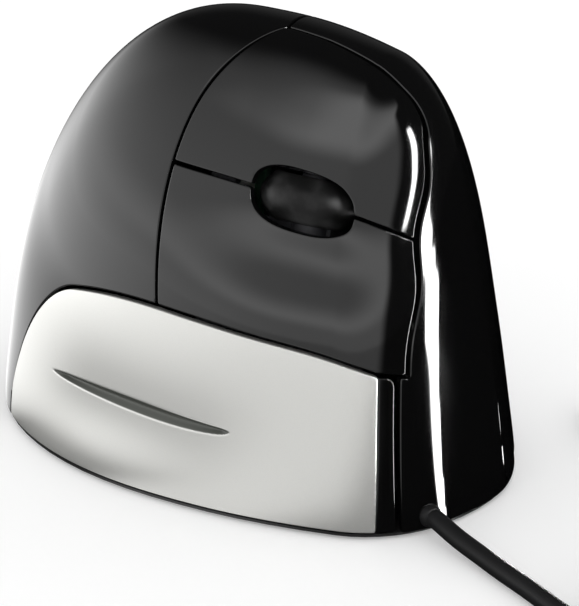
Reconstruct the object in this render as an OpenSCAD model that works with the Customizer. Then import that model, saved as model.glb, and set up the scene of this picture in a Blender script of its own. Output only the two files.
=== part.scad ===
// Vertical ergonomic mouse, right-handed, with its lead coiled beside it.
// The moulded body is one skin, lofted from the palm end to the nose, and every
// shell and button is a piece of that skin cut along its seams.
// +X is the finger side, +Y the nose, +Z up, and the desk is at Z = 0.

/* [Body] */
// Length of the skin from the palm end to the flat of the nose
body_l = 100; // [96:1:104]
// Height of the crown over the foot of the shells
body_h = 79.5; // [77:0.5:82]
// Reach of the finger side from the middle plane, at its widest
finger_w = 34; // [33:0.5:35.5]
// Reach of the thumb side from the middle plane, at its widest
thumb_w = 30; // [29:0.5:31]
// How far the finger side draws in towards the nose
finger_taper = 8; // [7:0.5:9]
// How far the thumb side draws in towards the nose
thumb_taper = 13.5; // [12.5:0.5:14.5]
// Radius of the nose
nose_r = 15.6; // [15:0.2:16]
// Bulge of the front face
nose_bulge = 3.6; // [3:0.1:4]
// Wall of the shells
wall = 2; // [1.8:0.1:2.2]

/* [Finger side] */
// How far the lip at the foot of the finger side flares out
lip_w = 3.2; // [2.4:0.2:4]
// Height over which the lip flares
lip_h = 9; // [8:0.5:10]
// Depth of the finger grooves in the buttons
groove_d = 0.8; // [0.4:0.1:1.2]
// Gap of a plain seam
seam = 0.6; // [0.5:0.05:0.7]
// Gap in front of the buttons, which they close as they go in
front_gap = 1; // [0.9:0.05:1.1]
// Length of the tongue that carries a button under the palm cover
tongue_l = 6; // [5:0.5:7]
// Length of the finger recess in the lower button
recess_l = 42; // [38:1:44]
// Height of the finger recess
recess_h = 1.8; // [1.5:0.1:2.2]
// Depth of the finger recess
recess_d = 1.1; // [0.8:0.1:1.3]

/* [Thumb side] */
// Depth of the hollow for the thumb
hollow_d = 7; // [6:0.5:8]
// Width of the ledge under the thumb
ledge_w = 5.6; // [5:0.2:6.2]
// Length of one thumb button
thumb_button_l = 15.6; // [14:0.2:16]

/* [Wheel] */
// Station of the wheel along the body
wheel_y = 23.8; // [23:0.2:24.6]
// Radius of the wheel over its tyre
wheel_r = 9.6; // [9.2:0.1:9.8]
// Width of the tyre
wheel_w = 7.4; // [6.8:0.1:7.6]
// How far the tyre stands out of the buttons
wheel_out = 1.9; // [1.6:0.1:2]
// Length of the opening for the wheel
wheel_gap_l = 18.4; // [18:0.2:19]
// Width of the opening for the wheel
wheel_gap_w = 10.5; // [10.3:0.1:11]
// Diameter of the wheel's axle
axle_d = 3; // [2.6:0.1:3.4]

/* [Base and boards] */
// Thickness of the base plate
base_t = 1.8; // [1.5:0.1:2.2]
// Stand of the glide feet below the base
foot_stand = 0.6; // [0.4:0.1:0.8]
// Thickness of the circuit boards
board_t = 1.6; // [1.2:0.2:2]
// Thickness of the webs that carry the button boards
web_t = 2.4; // [2:0.1:2.8]
// Height of a button switch
switch_h = 6.4; // [6:0.1:6.8]
// Shank diameter of the base screws
screw_d = 2.4; // [2:0.1:2.6]

/* [Lead] */
// Diameter of the lead
lead_d = 3.4; // [3.2:0.1:3.5]
// Turns in one layer of the coil
coil_turns = 3; // [2:1:3]
// Layers in the coil
coil_layers = 4; // [2:2:4]
// Radius of the coil at the middle of its turns
coil_r = 20.5; // [19:0.5:21.5]

/* [Hidden] */

// The shells stand on the rim of the base plate, and the inner parts on its raised floor.
rim_t = 0.5;
foot_z = foot_stand + rim_t;
floor_z = foot_stand + base_t;
nose_y = 48.5;
rear_y = nose_y - body_l;
barrel_l = body_l - nose_r;
// Place of the widest section and of the crown, and the roundness of the palm end
widest_y = 8;
highest_y = -2.5;
plan_n = 2.25;
rise_n = 2.1;
nose_drop = 0.055;
nose_soft = 16;
// The nose turns through this angle at the ridge and at the foot, and the front face goes on from there.
turn_top = 84;
turn_foot = 70;
// Roundness of the two sides in section, and how softly they meet at the ridge
finger_n = 1.9;
thumb_n = 2.12;
ridge_soft = 0.35;
ridge_n = 0.55;
ridge_x = -1.4;
ridge_shift = 4.3;
// The front leans back by this much for each millimetre of height.
lean = 0.13;
lean_y = -1.2;
// The lip runs along the palm end and fades out towards the nose.
lip_from = -27;
lip_to = 45;
// The finger grooves lie along the middle of the upper and the middle button.
groove_v = [0.28, 0.58];
groove_wide = [0.10, 0.07];
groove_from = -8;
groove_to = 22;
// Thumb hollow and ledge
hollow_y = 8;
hollow_l = 30;
hollow_z = 34;
hollow_h = 14;
ledge_y = 2;
ledge_l = 30;
ledge_h = 9;

// Places on the skin: s runs 0 to 1 along the barrel, to 2 round the nose and to 3 down the
// front face. v runs from -1 at the thumb foot over the ridge at 0 to 1 at the finger foot.
girth = 96;
nose_run = nose_r*75*PI/180;

function clamp(t) = min(max(t, 0), 1);
function mix(a, b, t) = a + (b - a)*t;
function ease(a, b, t) = let (q = clamp((t - a)/(b - a))) q*q*(3 - 2*q);
function bell(t, half) = exp(-pow(t/half, 2));
function rounding(y, full, n) = y >= full ? 1 : pow(max(1 - pow((full - y)/(full - rear_y), n), 0), 1/n);
function section_n(v) = 2 + ((v >= 0 ? finger_n : thumb_n) - 2)*ease(0, ridge_n, abs(v));
function out_of(v) = pow(sin(90*abs(v)), 2/section_n(v));
function nose_turn(v) = mix(turn_top, turn_foot, out_of(v));
// Place along the skin for a station, or for an angle round the nose
function at_y(y, v = 0.5) = let (over = y - rear_y - barrel_l)
    over <= 0 ? acos(-over/barrel_l)/90 : at_turn(asin(over/nose_r), v);
function at_turn(angle, v) = 1 + angle/nose_turn(v);
function along(v) = v/girth;
function s_gap(s, gap) = gap/(s < 1 ? 120 : nose_run);

function skin(s, v) =
    let (
        turn = nose_turn(v)*clamp(s - 1),
        face = 1 - clamp(s - 2),
        y_barrel = rear_y + barrel_l*(1 - cos(90*clamp(s))),
        y = y_barrel + nose_r*sin(turn),
        inset = nose_r*(1 - cos(turn)),
        plan = rounding(y_barrel, widest_y, plan_n),
        taper = pow(clamp((y - widest_y)/(nose_y - widest_y)), 2),
        drop = nose_drop*pow(clamp((y - highest_y)/(nose_y - highest_y)), 2),
        ridge = ridge_x*plan + ridge_shift*sqrt(taper),
        right = finger_w*plan - finger_taper*taper - ridge,
        left = thumb_w*plan - thumb_taper*taper + ridge,
        half = mix(left, right, ease(-ridge_soft, ridge_soft, v)),
        tau = 90*(1 - abs(v)),
        up = pow(sin(tau), 2/section_n(v)),
        out = out_of(v),
        rise = body_h*rounding(y_barrel, highest_y, rise_n)*(1 - drop)*up,
        lip = lip_w*plan*(1 - ease(lip_from, lip_to, y))*bell(rise, lip_h),
        ledge = ledge_w*plan*bell(y - ledge_y, ledge_l)*bell(rise, ledge_h),
        hollow = hollow_d*exp(-pow((y - hollow_y)/hollow_l, 4))*bell(rise - hollow_z, hollow_h),
        groove = v < 0 ? 0 : groove_d*ease(groove_from, groove_to, y)
            *(bell(v - groove_v[0], groove_wide[0]) + bell(v - groove_v[1], groove_wide[1])),
        reach = half*out + (v >= 0 ? lip - groove*out : (ledge - hollow)*ease(0, ridge_soft, -v)),
        width = reach*(1 - inset/sqrt(reach*reach + nose_soft*nose_soft))*face,
        z = (rise - groove*up - inset*up*up)*face
    )
    [ridge + (v >= 0 ? width : -width),
        y - lean*z*ease(lean_y, nose_y, y) + nose_bulge*(1 - face*face),
        z + foot_z];

// Outward normal of the skin, from neighbouring points
tick = 0.004;
function unit(p) = p/norm(p);
function normal(s, v) = unit(cross(
    skin(s, min(v + tick, 1)) - skin(s, max(v - tick, -1)),
    skin(min(s + tick, 3), v) - skin(max(s - tick, 0), v)));

// Point at a depth below the skin, kept above the foot
function below(s, v, depth) =
    let (p = depth == 0 ? skin(s, v) : skin(s, v) - depth*normal(s, v))
    [p.x, p.y, abs(v) == 1 ? foot_z : max(p.z, foot_z)];

// A piece of the skin: place(i, j) gives s and v, depth(i) its outer and inner depth.
// first and last say which of its two ends close over as a pole.
module piece(rows, cols, place, depth, first = false, last = false) {
    spots = [for (i = [0:rows], j = [0:cols]) place(i, j)];
    across = cols + 1;
    count = (rows + 1)*across;
    function depth_of(k, side) = depth(floor(k/across))[side];
    points = [for (side = [0, 1], k = [0:count - 1]) below(spots[k][0], spots[k][1], depth_of(k, side))];
    function o(i, j) = i*across + j;
    function u(i, j) = count + i*across + j;
    skins = [for (i = [0:rows - 1], j = [0:cols - 1]) each [
        [o(i, j), o(i + 1, j), o(i + 1, j + 1)], [o(i, j), o(i + 1, j + 1), o(i, j + 1)],
        [u(i, j), u(i + 1, j + 1), u(i + 1, j)], [u(i, j), u(i, j + 1), u(i + 1, j + 1)]]];
    edges = [for (i = [0:rows - 1]) each [
        [o(i + 1, 0), o(i, 0), u(i, 0)], [o(i + 1, 0), u(i, 0), u(i + 1, 0)],
        [o(i, cols), o(i + 1, cols), u(i + 1, cols)], [o(i, cols), u(i + 1, cols), u(i, cols)]]];
    function wall_first(j) = [[o(0, j), o(0, j + 1), u(0, j + 1)], [o(0, j), u(0, j + 1), u(0, j)]];
    function wall_last(j) = [[o(rows, j + 1), o(rows, j), u(rows, j)], [o(rows, j + 1), u(rows, j), u(rows, j + 1)]];
    function fan_first(j) = [[o(0, 0), o(0, j), o(0, j + 1)], [u(0, 0), u(0, j + 1), u(0, j)]];
    function fan_last(j) = [[o(rows, 0), o(rows, j + 1), o(rows, j)], [u(rows, 0), u(rows, j), u(rows, j + 1)]];
    ends_first = first
        ? concat([for (j = [1:cols - 1]) each fan_first(j)], [[o(0, 0), o(0, cols), u(0, cols)], [o(0, 0), u(0, cols), u(0, 0)]])
        : [for (j = [0:cols - 1]) each wall_first(j)];
    ends_last = last
        ? concat([for (j = [1:cols - 1]) each fan_last(j)],
            [[o(rows, cols), o(rows, 0), u(rows, 0)], [o(rows, cols), u(rows, 0), u(rows, cols)]])
        : [for (j = [0:cols - 1]) each wall_last(j)];
    polyhedron(points = points, faces = concat(skins, edges, ends_first, ends_last), convexity = 8);
}

// Seam lines on the skin
// Palm seam: a shallow bow over the finger side, then straight over the ridge
palm_y = -5.7;
palm_bow = 58;
palm_mid = 0.54;
corner_v = 0.066;
function palm_s(v) = at_y(palm_y + palm_bow*pow(max(v, corner_v) - palm_mid, 2));
// Split between the upper and the middle button, which runs down a little to the front
split_rear = 0.468;
split_front = 0.489;
function split_v(mark) = mix(split_rear, split_front, pow(mark, 0.6));
// Front edge of the two buttons, and the round of the upper one's front corner
button_turn = 47;
function button_s(v) = at_turn(button_turn, v);
corner_from = 0.31;
corner_y = 8.9;
top_y = 39.9;
top_v = 0.138;
function button_front(v) = v >= corner_from ? button_s(v)
    : v >= top_v ? mix(button_s(v), at_y(top_y, v), 1 - sqrt(1 - pow((corner_from - v)/(corner_from - top_v), 2)))
    : at_y(mix(corner_y, top_y, pow(clamp((v - corner_v)/(top_v - corner_v)), 0.45)), v);
// Top edge of the lower button, with its long round at the palm end
lower_v = 0.70;
lower_rise = 0.0003;
lower_dip_v = 0.019;
lower_dip_y = 16;
lower_front_y = 40.6;
lower_rear_y = rear_y + 10.6;
lower_round_y = rear_y + 27.5;
lower_round_v = 0.24;
lower_turn = 29.2;
lower_tuck = 6;
function lower_line(y) = lower_v + lower_rise*(y - lower_round_y)
    + lower_dip_v*pow(clamp((y - lower_dip_y)/(lower_front_y - lower_dip_y)), 4);
lower_front_v = lower_line(lower_front_y);
function lower_s(v) = at_turn(lower_turn - lower_tuck*pow(clamp((v - lower_front_v)/(1 - lower_front_v)), 1.5), v);
// Front edge of the black cap that ends it
end_turn = 41.4;
end_tuck = 4.5;
function end_s(v) = at_turn(end_turn - end_tuck*clamp((v - lower_front_v)/(1 - lower_front_v)), v);
function lower_edge(s) =
    let (y = rear_y + barrel_l*(1 - cos(90*clamp(s))), t = clamp((lower_round_y - y)/(lower_round_y - lower_rear_y)))
    lower_line(max(y, lower_round_y) + nose_r*sin(nose_turn(lower_v)*clamp(s - 1))) + lower_round_v*(1 - sqrt(1 - t*t));
// Upper edge of the thumb shell, with its round at the palm end
thumb_v = -0.40;
thumb_round_y = palm_y - 2.3;
thumb_rear_y = thumb_round_y - 18;
thumb_round_v = 0.3;
thumb_turn = 27;
function thumb_s(v) = at_turn(thumb_turn, v);
function thumb_edge(s) =
    let (y = rear_y + barrel_l*(1 - cos(90*clamp(s))), t = clamp((thumb_round_y - y)/(thumb_round_y - thumb_rear_y)))
    thumb_v - thumb_round_v*(1 - sqrt(1 - t*t));
// Thumb buttons, in a row under that edge
thumb_button_y = 0;
thumb_button_v = 0.1;
pole = 0.012;
step = 0.0004;
half_seam = along(seam/2);
function button_end(v) = let (e = button_front(v - half_seam)) e - s_gap(e, front_gap/2);
function cover_start(v) = let (e = button_front(v + half_seam)) e + s_gap(e, front_gap/2);

// Wheel frame: at the skin, X out of the buttons, Y to the nose, Z up the slope
wheel_v = 0.4765;
wheel_back = 1;
wheel_seat = skin(at_y(wheel_y), wheel_v) - [0, wheel_back, 0];
wheel_normal = normal(at_y(wheel_y), wheel_v);
wheel_tilt = atan2(wheel_normal.z, wheel_normal.x);
axle_x = wheel_out - wheel_r;
module at_wheel() translate(wheel_seat) rotate([0, -wheel_tilt, 0]) children();
// Stations are squeezed by the lean of the front.
squeeze = (skin(at_y(wheel_y + 1), wheel_v).y - skin(at_y(wheel_y - 1), wheel_v).y)/2;

// Fractions of a button's length along the split, with the wheel opening finely stepped
wheel_steps = 14;
opening_n = 2.6;
function split_marks() =
    let (
        s0 = palm_s(split_rear), s1 = button_end(split_front),
        half = wheel_gap_l/2/squeeze,
        hole = [for (k = [0:wheel_steps]) let (c = cos(180*k/wheel_steps))
            at_y(wheel_y - half*sign(c)*pow(abs(c), 2/opening_n))],
        before = [for (k = [0:3]) mix(s0, hole[0], k/4)],
        after = [for (k = [1:8]) mix(hole[wheel_steps], s1, k/8)]
    )
    [for (s = concat(before, hole, after)) (s - s0)/(s1 - s0)];
function split_bump(i) = let (k = i - 4) k <= 0 || k >= wheel_steps ? 0
    : along((wheel_gap_w - seam)/2)*pow(sin(180*k/wheel_steps), 2/opening_n);

// A finger button with the tongue that carries it: the tongue's rows come first.
tongue_gap = 0.4;
tongue_t = 1.4;
tongue_rows = 3;
module finger_button(cols, top, fade, side) {
    marks = split_marks();
    rows = len(marks) - 1 + tongue_rows;
    back = at_y(palm_y) - at_y(palm_y - tongue_l);
    place = function (i, j) let (
            k = max(i - tongue_rows, 0),
            w = j/cols,
            v = top(marks[k], w),
            s0 = palm_s(v) + s_gap(0, seam/2),
            s = mix(s0, button_end(v), marks[k])
        )
        i == 0 ? [s0 - back, v] : i < tongue_rows ? [s0 - (tongue_rows - i)*step, v]
        : [s, v + side*split_bump(k)*fade(w)];
    depth = function (i) i < tongue_rows ? [wall + tongue_gap, wall + tongue_gap + tongue_t]
        : i < tongue_rows + 2 ? [0, wall + tongue_gap + tongue_t] : [0, wall];
    piece(rows, cols, place, depth);
}

upper_from = corner_v + 2*half_seam;
module upper_button() {
    color([0.05, 0.05, 0.05])
    finger_button(12,
        function (mark, w) mix(upper_from, split_v(mark) - half_seam, 1 - cos(90*w)),
        function (w) pow(w, 3), -1);
}

module middle_button() {
    color([0.05, 0.05, 0.05])
    finger_button(10,
        function (mark, w) mix(split_v(mark) + half_seam,
            lower_edge(mix(palm_s(lower_v), button_end(lower_v), mark)) - half_seam, w),
        function (w) pow(1 - w, 3), 1);
}

// Crescent recess for the finger tip, level along the middle of the lower button
recess_from = -28.5;
recess_v = [0.8494, 0.8636];
module finger_recess() {
    cells = 18;
    place = function (i, j) let (
            t = 0.5 - 0.5*cos(180*i/cells),
            tall = along(recess_h)*1.4*pow(t, 0.45)*pow(1 - t, 0.14) + step
        )
        [at_y(recess_from + t*recess_l), mix(recess_v[0], recess_v[1], t) + (j == 0 ? -step : tall)];
    piece(cells, 1, place, function (i) [-1, recess_d]);
}

foot_gap = 0.4;
foot_v = 1 - along(foot_gap);
module lower_button() {
    rear = [for (k = [0:8]) mix(lower_rear_y, lower_round_y, 1 - cos(90*k/8))];
    middle = [for (k = [1:6]) mix(lower_round_y, nose_y - nose_r, k/6)];
    stations = concat([for (y = concat(rear, middle)) at_y(y)], [for (k = [1:3]) 1 + k/3]);
    function slant(s, v) = s <= 1 ? s : 1 + (s - 1)*(lower_s(v) - 1);
    rows = len(stations) - 1 + tongue_rows;
    cols = 10;
    back = stations[0] - at_y(lower_rear_y - tongue_l + 1);
    place = function (i, j) let (
            k = max(i - tongue_rows, 0),
            s = stations[k],
            v = mix(lower_edge(slant(s, lower_front_v)) + half_seam, foot_v, j/cols)
        )
        i == 0 ? [s - back, v] : i < tongue_rows ? [s - (tongue_rows - i)*step, v] : [slant(s, v), v];
    depth = function (i) i < tongue_rows ? [wall + tongue_gap, wall + tongue_gap + tongue_t]
        : i < tongue_rows + 2 ? [0, wall + tongue_gap + tongue_t] : [0, wall];
    color([0.82, 0.82, 0.80])
    difference() {
        piece(rows, cols, place, depth);
        finger_recess();
    }
}
cap_gap = 0.05;
module lower_end() {
    rows = 3;
    cols = 10;
    place = function (i, j) let (
            v = mix(lower_edge(lower_s(lower_front_v)) + half_seam, foot_v, j/cols),
            s0 = lower_s(v) + s_gap(1, cap_gap),
            s1 = end_s(v) - s_gap(1, front_gap/2)
        )
        [mix(s0, s1, i/rows), v];
    color([0.04, 0.04, 0.04])
    piece(rows, cols, place, function (i) [0, wall]);
}

module palm_cover() {
    cols = 24;
    reach = palm_s(palm_mid);
    // The rows bend to the bowed seam over their last part.
    function bow(s, v) = (palm_s(v) - reach)*pow(s/reach, 10);
    ahead = [pole, 0.05, 0.1, 0.15, 0.2, 0.25];
    rim_s = at_y(lower_rear_y) - s_gap(0, seam);
    thumb_s0 = at_y(thumb_rear_y) - s_gap(0, seam);
    thumb_rim_s = thumb_s0 - bow(thumb_s0, 0);
    lower_round = [for (k = [1:5]) at_y(mix(lower_rear_y, lower_round_y, 1 - cos(15*k)))];
    thumb_round = [for (k = [1:5]) at_y(mix(thumb_rear_y, thumb_round_y, 1 - cos(15*k)))];
    stations = concat(ahead, [rim_s - step, rim_s], lower_round, [thumb_rim_s - step, thumb_rim_s],
        thumb_round, [at_y(thumb_round_y), reach]);
    rows = len(stations) - 1;
    lower_from = len(ahead) + 1;
    thumb_from = lower_from + len(lower_round) + 2;
    place = function (i, j) let (
            s = stations[i],
            left = i < thumb_from ? -1 : thumb_edge(max(s + bow(s, 0), at_y(thumb_rear_y))) + half_seam,
            right = i < lower_from ? 1 : lower_edge(max(s + bow(s, lower_v), at_y(lower_rear_y))) - half_seam,
            v = mix(left, right, j/cols)
        )
        [s + bow(s, v) - (i == rows ? s_gap(0, seam/2) : 0), v];
    color([0.06, 0.06, 0.06])
    piece(rows, cols, place, function (i) [0, wall], first = true);
}

module thumb_shell() {
    button_ends = [thumb_button_y - seam, thumb_button_y + 2*thumb_button_l + 2*seam];
    rear = [for (k = [0:6]) at_y(mix(thumb_rear_y, thumb_round_y, 1 - cos(90*k/6)))];
    notch = [for (k = [0:6]) at_y(mix(button_ends[0], button_ends[1], k/6))];
    stations = concat(rear, [notch[0] - step], notch, [notch[6] + step], [1, 1.5, 2]);
    function slant(s, v) = s <= 1 ? s : 1 + (s - 1)*(thumb_s(v) - 1 - s_gap(1, seam/2));
    first_notch = len(rear) + 1;
    cols = 14;
    place = function (i, j) let (
            s = stations[i],
            cut = i >= first_notch && i < first_notch + 7 ? thumb_button_v + 2*half_seam : 0
        )
        let (v = mix(-1, thumb_edge(s) - half_seam - cut, j/cols)) [slant(s, v), v];
    color([0.09, 0.09, 0.09])
    piece(len(stations) - 1, cols, place, function (i) [0, wall]);
}

thumb_proud = 0.8;
module thumb_button(y) {
    cells = 8;
    place = function (i, j) [at_y(mix(y, y + thumb_button_l, i/cells)), mix(thumb_v - half_seam - thumb_button_v, thumb_v - half_seam, j/4)];
    color([0.05, 0.05, 0.05])
    piece(cells, 4, place, function (i) [-thumb_proud*sin(180*i/cells), wall]);
}
module rear_thumb_button() thumb_button(thumb_button_y);
module front_thumb_button() thumb_button(thumb_button_y + thumb_button_l + seam);

// The nose: its edge runs round the thumb shell, over the ridge, round the two buttons and
// down beside the lower button, and the rows run from there to the foot of the front face.
spread = 0.15;
module front_cover() {
    rear = palm_s(corner_v) + s_gap(0, seam/2);
    thumb_top = thumb_v + half_seam;
    spine_v = corner_v - half_seam;
    low_v = lower_front_v + half_seam;
    function beside_thumb(v) = thumb_s(v) + s_gap(1, seam/2);
    function front(v) = button_s(v) + s_gap(1, front_gap/2);
    function low(v) = end_s(v) + s_gap(1, front_gap/2);
    // Each entry: s and v on the edge, then v at the end of the nose
    edge = concat(
        [for (k = [0:5]) let (v = mix(-1, thumb_top, k/6)) [beside_thumb(v), v, v]],
        [for (k = [0:9]) [mix(beside_thumb(thumb_top), rear, k/10), thumb_top, thumb_top + spread*k/10]],
        [for (k = [0:6]) let (v = mix(thumb_top, spine_v, k/7)) [rear, v, mix(thumb_top + spread, spine_v, k/7)]],
        [for (k = [0:10]) let (v = mix(spine_v, corner_from, pow(k/10, 1.6))) [cover_start(v), v, v]],
        [for (k = [1:6]) let (v = mix(corner_from, low_v, k/6)) [front(v), v, v]],
        [for (k = [1:3]) [mix(front(low_v), low(low_v), k/3), low_v, low_v + 0.02*k/3]],
        [for (k = [1:5]) let (v = mix(low_v, 1, k/5)) [low(v), v, mix(low_v + 0.02, 1, k/5)]]);
    nose_rows = 9;
    face_rows = 5;
    place = function (i, j) let (e = edge[j], t = min(i/nose_rows, 1))
        [i <= nose_rows ? mix(e[0], 2, t) : mix(2, 2.97, (i - nose_rows)/face_rows), mix(e[1], e[2], t)];
    color([0.04, 0.04, 0.04])
    difference() {
        piece(nose_rows + face_rows, len(edge) - 1, place, function (i) [0, wall], last = true);
        at_exit() {
            translate([-12, 0, 0]) rotate([0, 90, 0]) cylinder(h = 18, d = sleeve_d + 0.1, $fn = 32);
            translate([-12, -sleeve_d/2 - 0.05, -6]) cube([18, sleeve_d + 0.1, 6]);
        }
    }
}

// Base plate, inside the foot line of the shells, with its feet and screws
base_inset = 0.35;
floor_inset = 4.4;
pocket = 0.3;
feet = [[0, rear_y + 15.5, 12, 7, 0], [-7, 33, 7, 6, 30], [10, 35, 7, 6, -20]];
post_spots = [[-8, rear_y + 21.5], [14, rear_y + 21.5], [4, 27.5]];
module pad(f, grow) translate([f[0], f[1]]) rotate(f[4])
    for (side = [-1, 1]) {
        translate([side*f[2]/2, 0]) circle(d = f[3] + 2*grow, $fn = 24);
        square([f[2], f[3] + 2*grow], center = true);
    }
module base_plate() {
    stops = concat([for (k = [0:22]) k/22], [for (k = [1:8]) 1 + k/8], [for (k = [1:4]) 2 + k/4]);
    last = len(stops) - 1;
    foot = concat([for (k = [0:last]) skin(stops[k], 1)], [for (k = [1:last]) skin(stops[last - k], -1)]);
    color([0.07, 0.07, 0.07])
    difference() {
        union() {
            translate([0, 0, foot_stand]) linear_extrude(rim_t)
                offset(delta = -base_inset) polygon([for (p = foot) [p.x, p.y]]);
            translate([0, 0, foot_stand]) linear_extrude(base_t)
                offset(delta = -floor_inset) polygon([for (p = foot) [p.x, p.y]]);
            for (p = post_spots) translate([p.x, p.y, floor_z - 0.5]) cylinder(h = board_z - floor_z + 0.5, d = 5, $fn = 24);
        }
        for (f = feet) translate([0, 0, foot_stand - 1]) linear_extrude(1 + pocket) pad(f, 0.1);
        for (p = screw_spots) translate([p.x, p.y, foot_stand - 1]) {
            cylinder(h = 2.2, d = screw_d + 2.4, $fn = 24);
            cylinder(h = 6, d = screw_d + 0.3, $fn = 24);
        }
        translate([window.x, window.y, foot_stand - 1]) cylinder(h = 6, d = 7.4, $fn = 32);
        for (p = post_spots) translate([p.x, p.y, 3]) cylinder(h = 6, d = 2.1, $fn = 24);
        at_exit() translate([-14, -sleeve_d, foot_z - exit.z]) cube([20, 2*sleeve_d, 6]);
    }
}
module glide_feet() {
    color([0.2, 0.2, 0.22])
    linear_extrude(foot_stand + pocket) for (f = feet) pad(f, 0);
}
module base_screws() {
    color([0.62, 0.62, 0.64])
    for (p = screw_spots) translate([p.x, p.y, foot_stand + 0.2]) difference() {
        union() {
            cylinder(h = 1, d = screw_d + 2.2, $fn = 24);
            cylinder(h = 4, d = screw_d, $fn = 24);
        }
        translate([0, 0, -1]) cylinder(h = 1.6, d = 1.8, $fn = 6);
    }
}

// Wheel: a rubber tyre on a hub whose axle turns in the two cheeks of a carrier
tyre_t = 3;
crown = 2.4;
cheek_in = 4.4;
cheek_out = 6;
module on_axle() at_wheel() translate([axle_x, 0, 0]) children();
module wheel_tyre() {
    face = [for (k = [-6:6]) [wheel_r - crown*pow(k/6, 2), k/6*wheel_w/2]];
    rim = wheel_r - tyre_t;
    color([0.1, 0.1, 0.1])
    on_axle() rotate_extrude($fn = 64) polygon(concat([[rim, -wheel_w/2 + 0.4]], face, [[rim, wheel_w/2 - 0.4]]));
}
module wheel_hub() {
    rim = wheel_r - tyre_t;
    color([0.25, 0.25, 0.27])
    on_axle() rotate_extrude($fn = 64) polygon([[0, -10], [axle_d/2, -10], [axle_d/2, -cheek_in + 0.2],
        [3, -cheek_in + 0.2], [3, -1.6], [rim - 1.6, -1.6], [rim - 1.6, -3], [rim, -3], [rim, 3],
        [rim - 1.6, 3], [rim - 1.6, 1.6], [3, 1.6], [3, cheek_in - 0.2], [axle_d/2, cheek_in - 0.2],
        [axle_d/2, cheek_out + 0.7], [0, cheek_out + 0.7]]);
}

// Stack under the buttons, along the wheel's X: plunger top, board face, web face and web back
plunger_x = -5;
plunger_h = 1;
board_x = plunger_x - plunger_h - switch_h;
web_x = board_x - board_t;
slot_w = cheek_out + 0.3;
slot_y = -12;
frame_y = [-22, 11.2];
tail_x = web_x - web_t - 1.5;
press_travel = 0.5;
wheel_switch_h = 3;
bar_x = board_x + wheel_switch_h + plunger_h + press_travel + 0.1;
module wheel_carrier() {
    color([0.30, 0.30, 0.32])
    at_wheel() difference() {
        union() {
            for (side = [-1, 1]) translate([0, 0, side > 0 ? cheek_in : -cheek_out]) {
                translate([axle_x, 0, 0]) cylinder(h = cheek_out - cheek_in, d = 6.4, $fn = 32);
                translate([tail_x, -4, 0]) cube([axle_x - tail_x, 8, cheek_out - cheek_in]);
                translate([bar_x - 0.6, -20, 0]) cube([2.2, 20, cheek_out - cheek_in]);
            }
            translate([bar_x, -20, -cheek_out]) cube([1.6, 5, 2*cheek_out]);
        }
        translate([axle_x, 0, -10]) cylinder(h = 20, d = axle_d + 0.1, $fn = 32);
    }
}
module wheel_encoder() {
    color([0.12, 0.30, 0.20])
    at_wheel() difference() {
        translate([axle_x - 2.4, -4.5, -cheek_out - 3.6]) cube([4.8, 9, 3.6]);
        translate([axle_x, 0, -20]) cylinder(h = 20, d = axle_d + 0.1, $fn = 32);
    }
}
module switch(x, y, z, size, rise) translate([x, y, z]) {
    translate([0, -size.x/2, -size.y/2]) cube([rise, size.x, size.y]);
    rotate([0, 90, 0]) cylinder(h = rise + plunger_h, d = 2.4, $fn = 20);
}
module wheel_switch() {
    color([0.75, 0.75, 0.72]) at_wheel() switch(board_x, -17.5, 0, [6, 6], wheel_switch_h);
}
module upper_switch() {
    color([0.85, 0.2, 0.15]) at_wheel() switch(board_x, 0, 10.8, [12.8, 5.8], switch_h);
}
module middle_switch() {
    color([0.85, 0.2, 0.15]) at_wheel() switch(board_x, 0, -15.5, [12.8, 5.8], switch_h);
}

// Frames that carry the button boards: a tilted web, an upright leg and a foot flange
flange_t = 2;
flange_w = 10;
low_switch_h = 4.6;
low_y = 15;
low_z = 17;
leg_x = skin(at_y(low_y), 0.85).x - wall - 0.7 - plunger_h - low_switch_h - board_t;
// The flanges of the two frames are screwed down, and the sensor's lens stands between them.
thumb_leg = 14.5;
screw_x = leg_x - 5.9;
screw_spots = [[screw_x, 2], [screw_x, 28], [-9.5, 5], [-9.5, 21]];
lens_w = 14;
lens_from = flange_w - thumb_leg;
lens_to = leg_x - flange_w;
window = [mix(lens_from + lens_w/2, lens_to - lens_w/2, 0.29), 5];
module frame(seat, tilt, face, top, leg, long) {
    function web(x, a) = [seat.x + x*cos(tilt) - a*sin(tilt), seat.z + x*sin(tilt) + a*cos(tilt)];
    function meet(x, at) = let (a = (seat.x + x*cos(tilt) - at)/sin(tilt)) web(x, a);
    translate([0, long[1], 0]) rotate([90, 0, 0]) linear_extrude(long[1] - long[0])
        polygon([web(face, top), meet(face, leg), [leg, floor_z], [leg - flange_w, floor_z],
            [leg - flange_w, floor_z + flange_t], [leg - web_t, floor_z + flange_t],
            meet(face - web_t, leg - web_t), web(face - web_t, top)]);
}
module screw_bores() for (p = screw_spots) translate([p.x, p.y, 0]) cylinder(h = 12, d = screw_d + 0.1, $fn = 24);
module finger_frame() {
    color([0.16, 0.16, 0.18])
    difference() {
        frame(wheel_seat, wheel_tilt, web_x, 15, leg_x, [wheel_seat.y + frame_y[0], wheel_seat.y + frame_y[1]]);
        at_wheel() translate([web_x - 6, slot_y, -slot_w]) cube([12, 40, 2*slot_w]);
        screw_bores();
    }
}
module button_board() {
    color([0.05, 0.30, 0.12])
    at_wheel() difference() {
        translate([web_x, frame_y[0] + 1, -20]) cube([board_t, frame_y[1] - frame_y[0] - 2, 34.5]);
        translate([web_x - 1, slot_y, -slot_w]) cube([board_t + 2, 40, 2*slot_w]);
    }
}
module lower_board() {
    color([0.05, 0.30, 0.12])
    translate([leg_x, low_y - 9, low_z - 8]) cube([board_t, 18, 12]);
}
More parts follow.
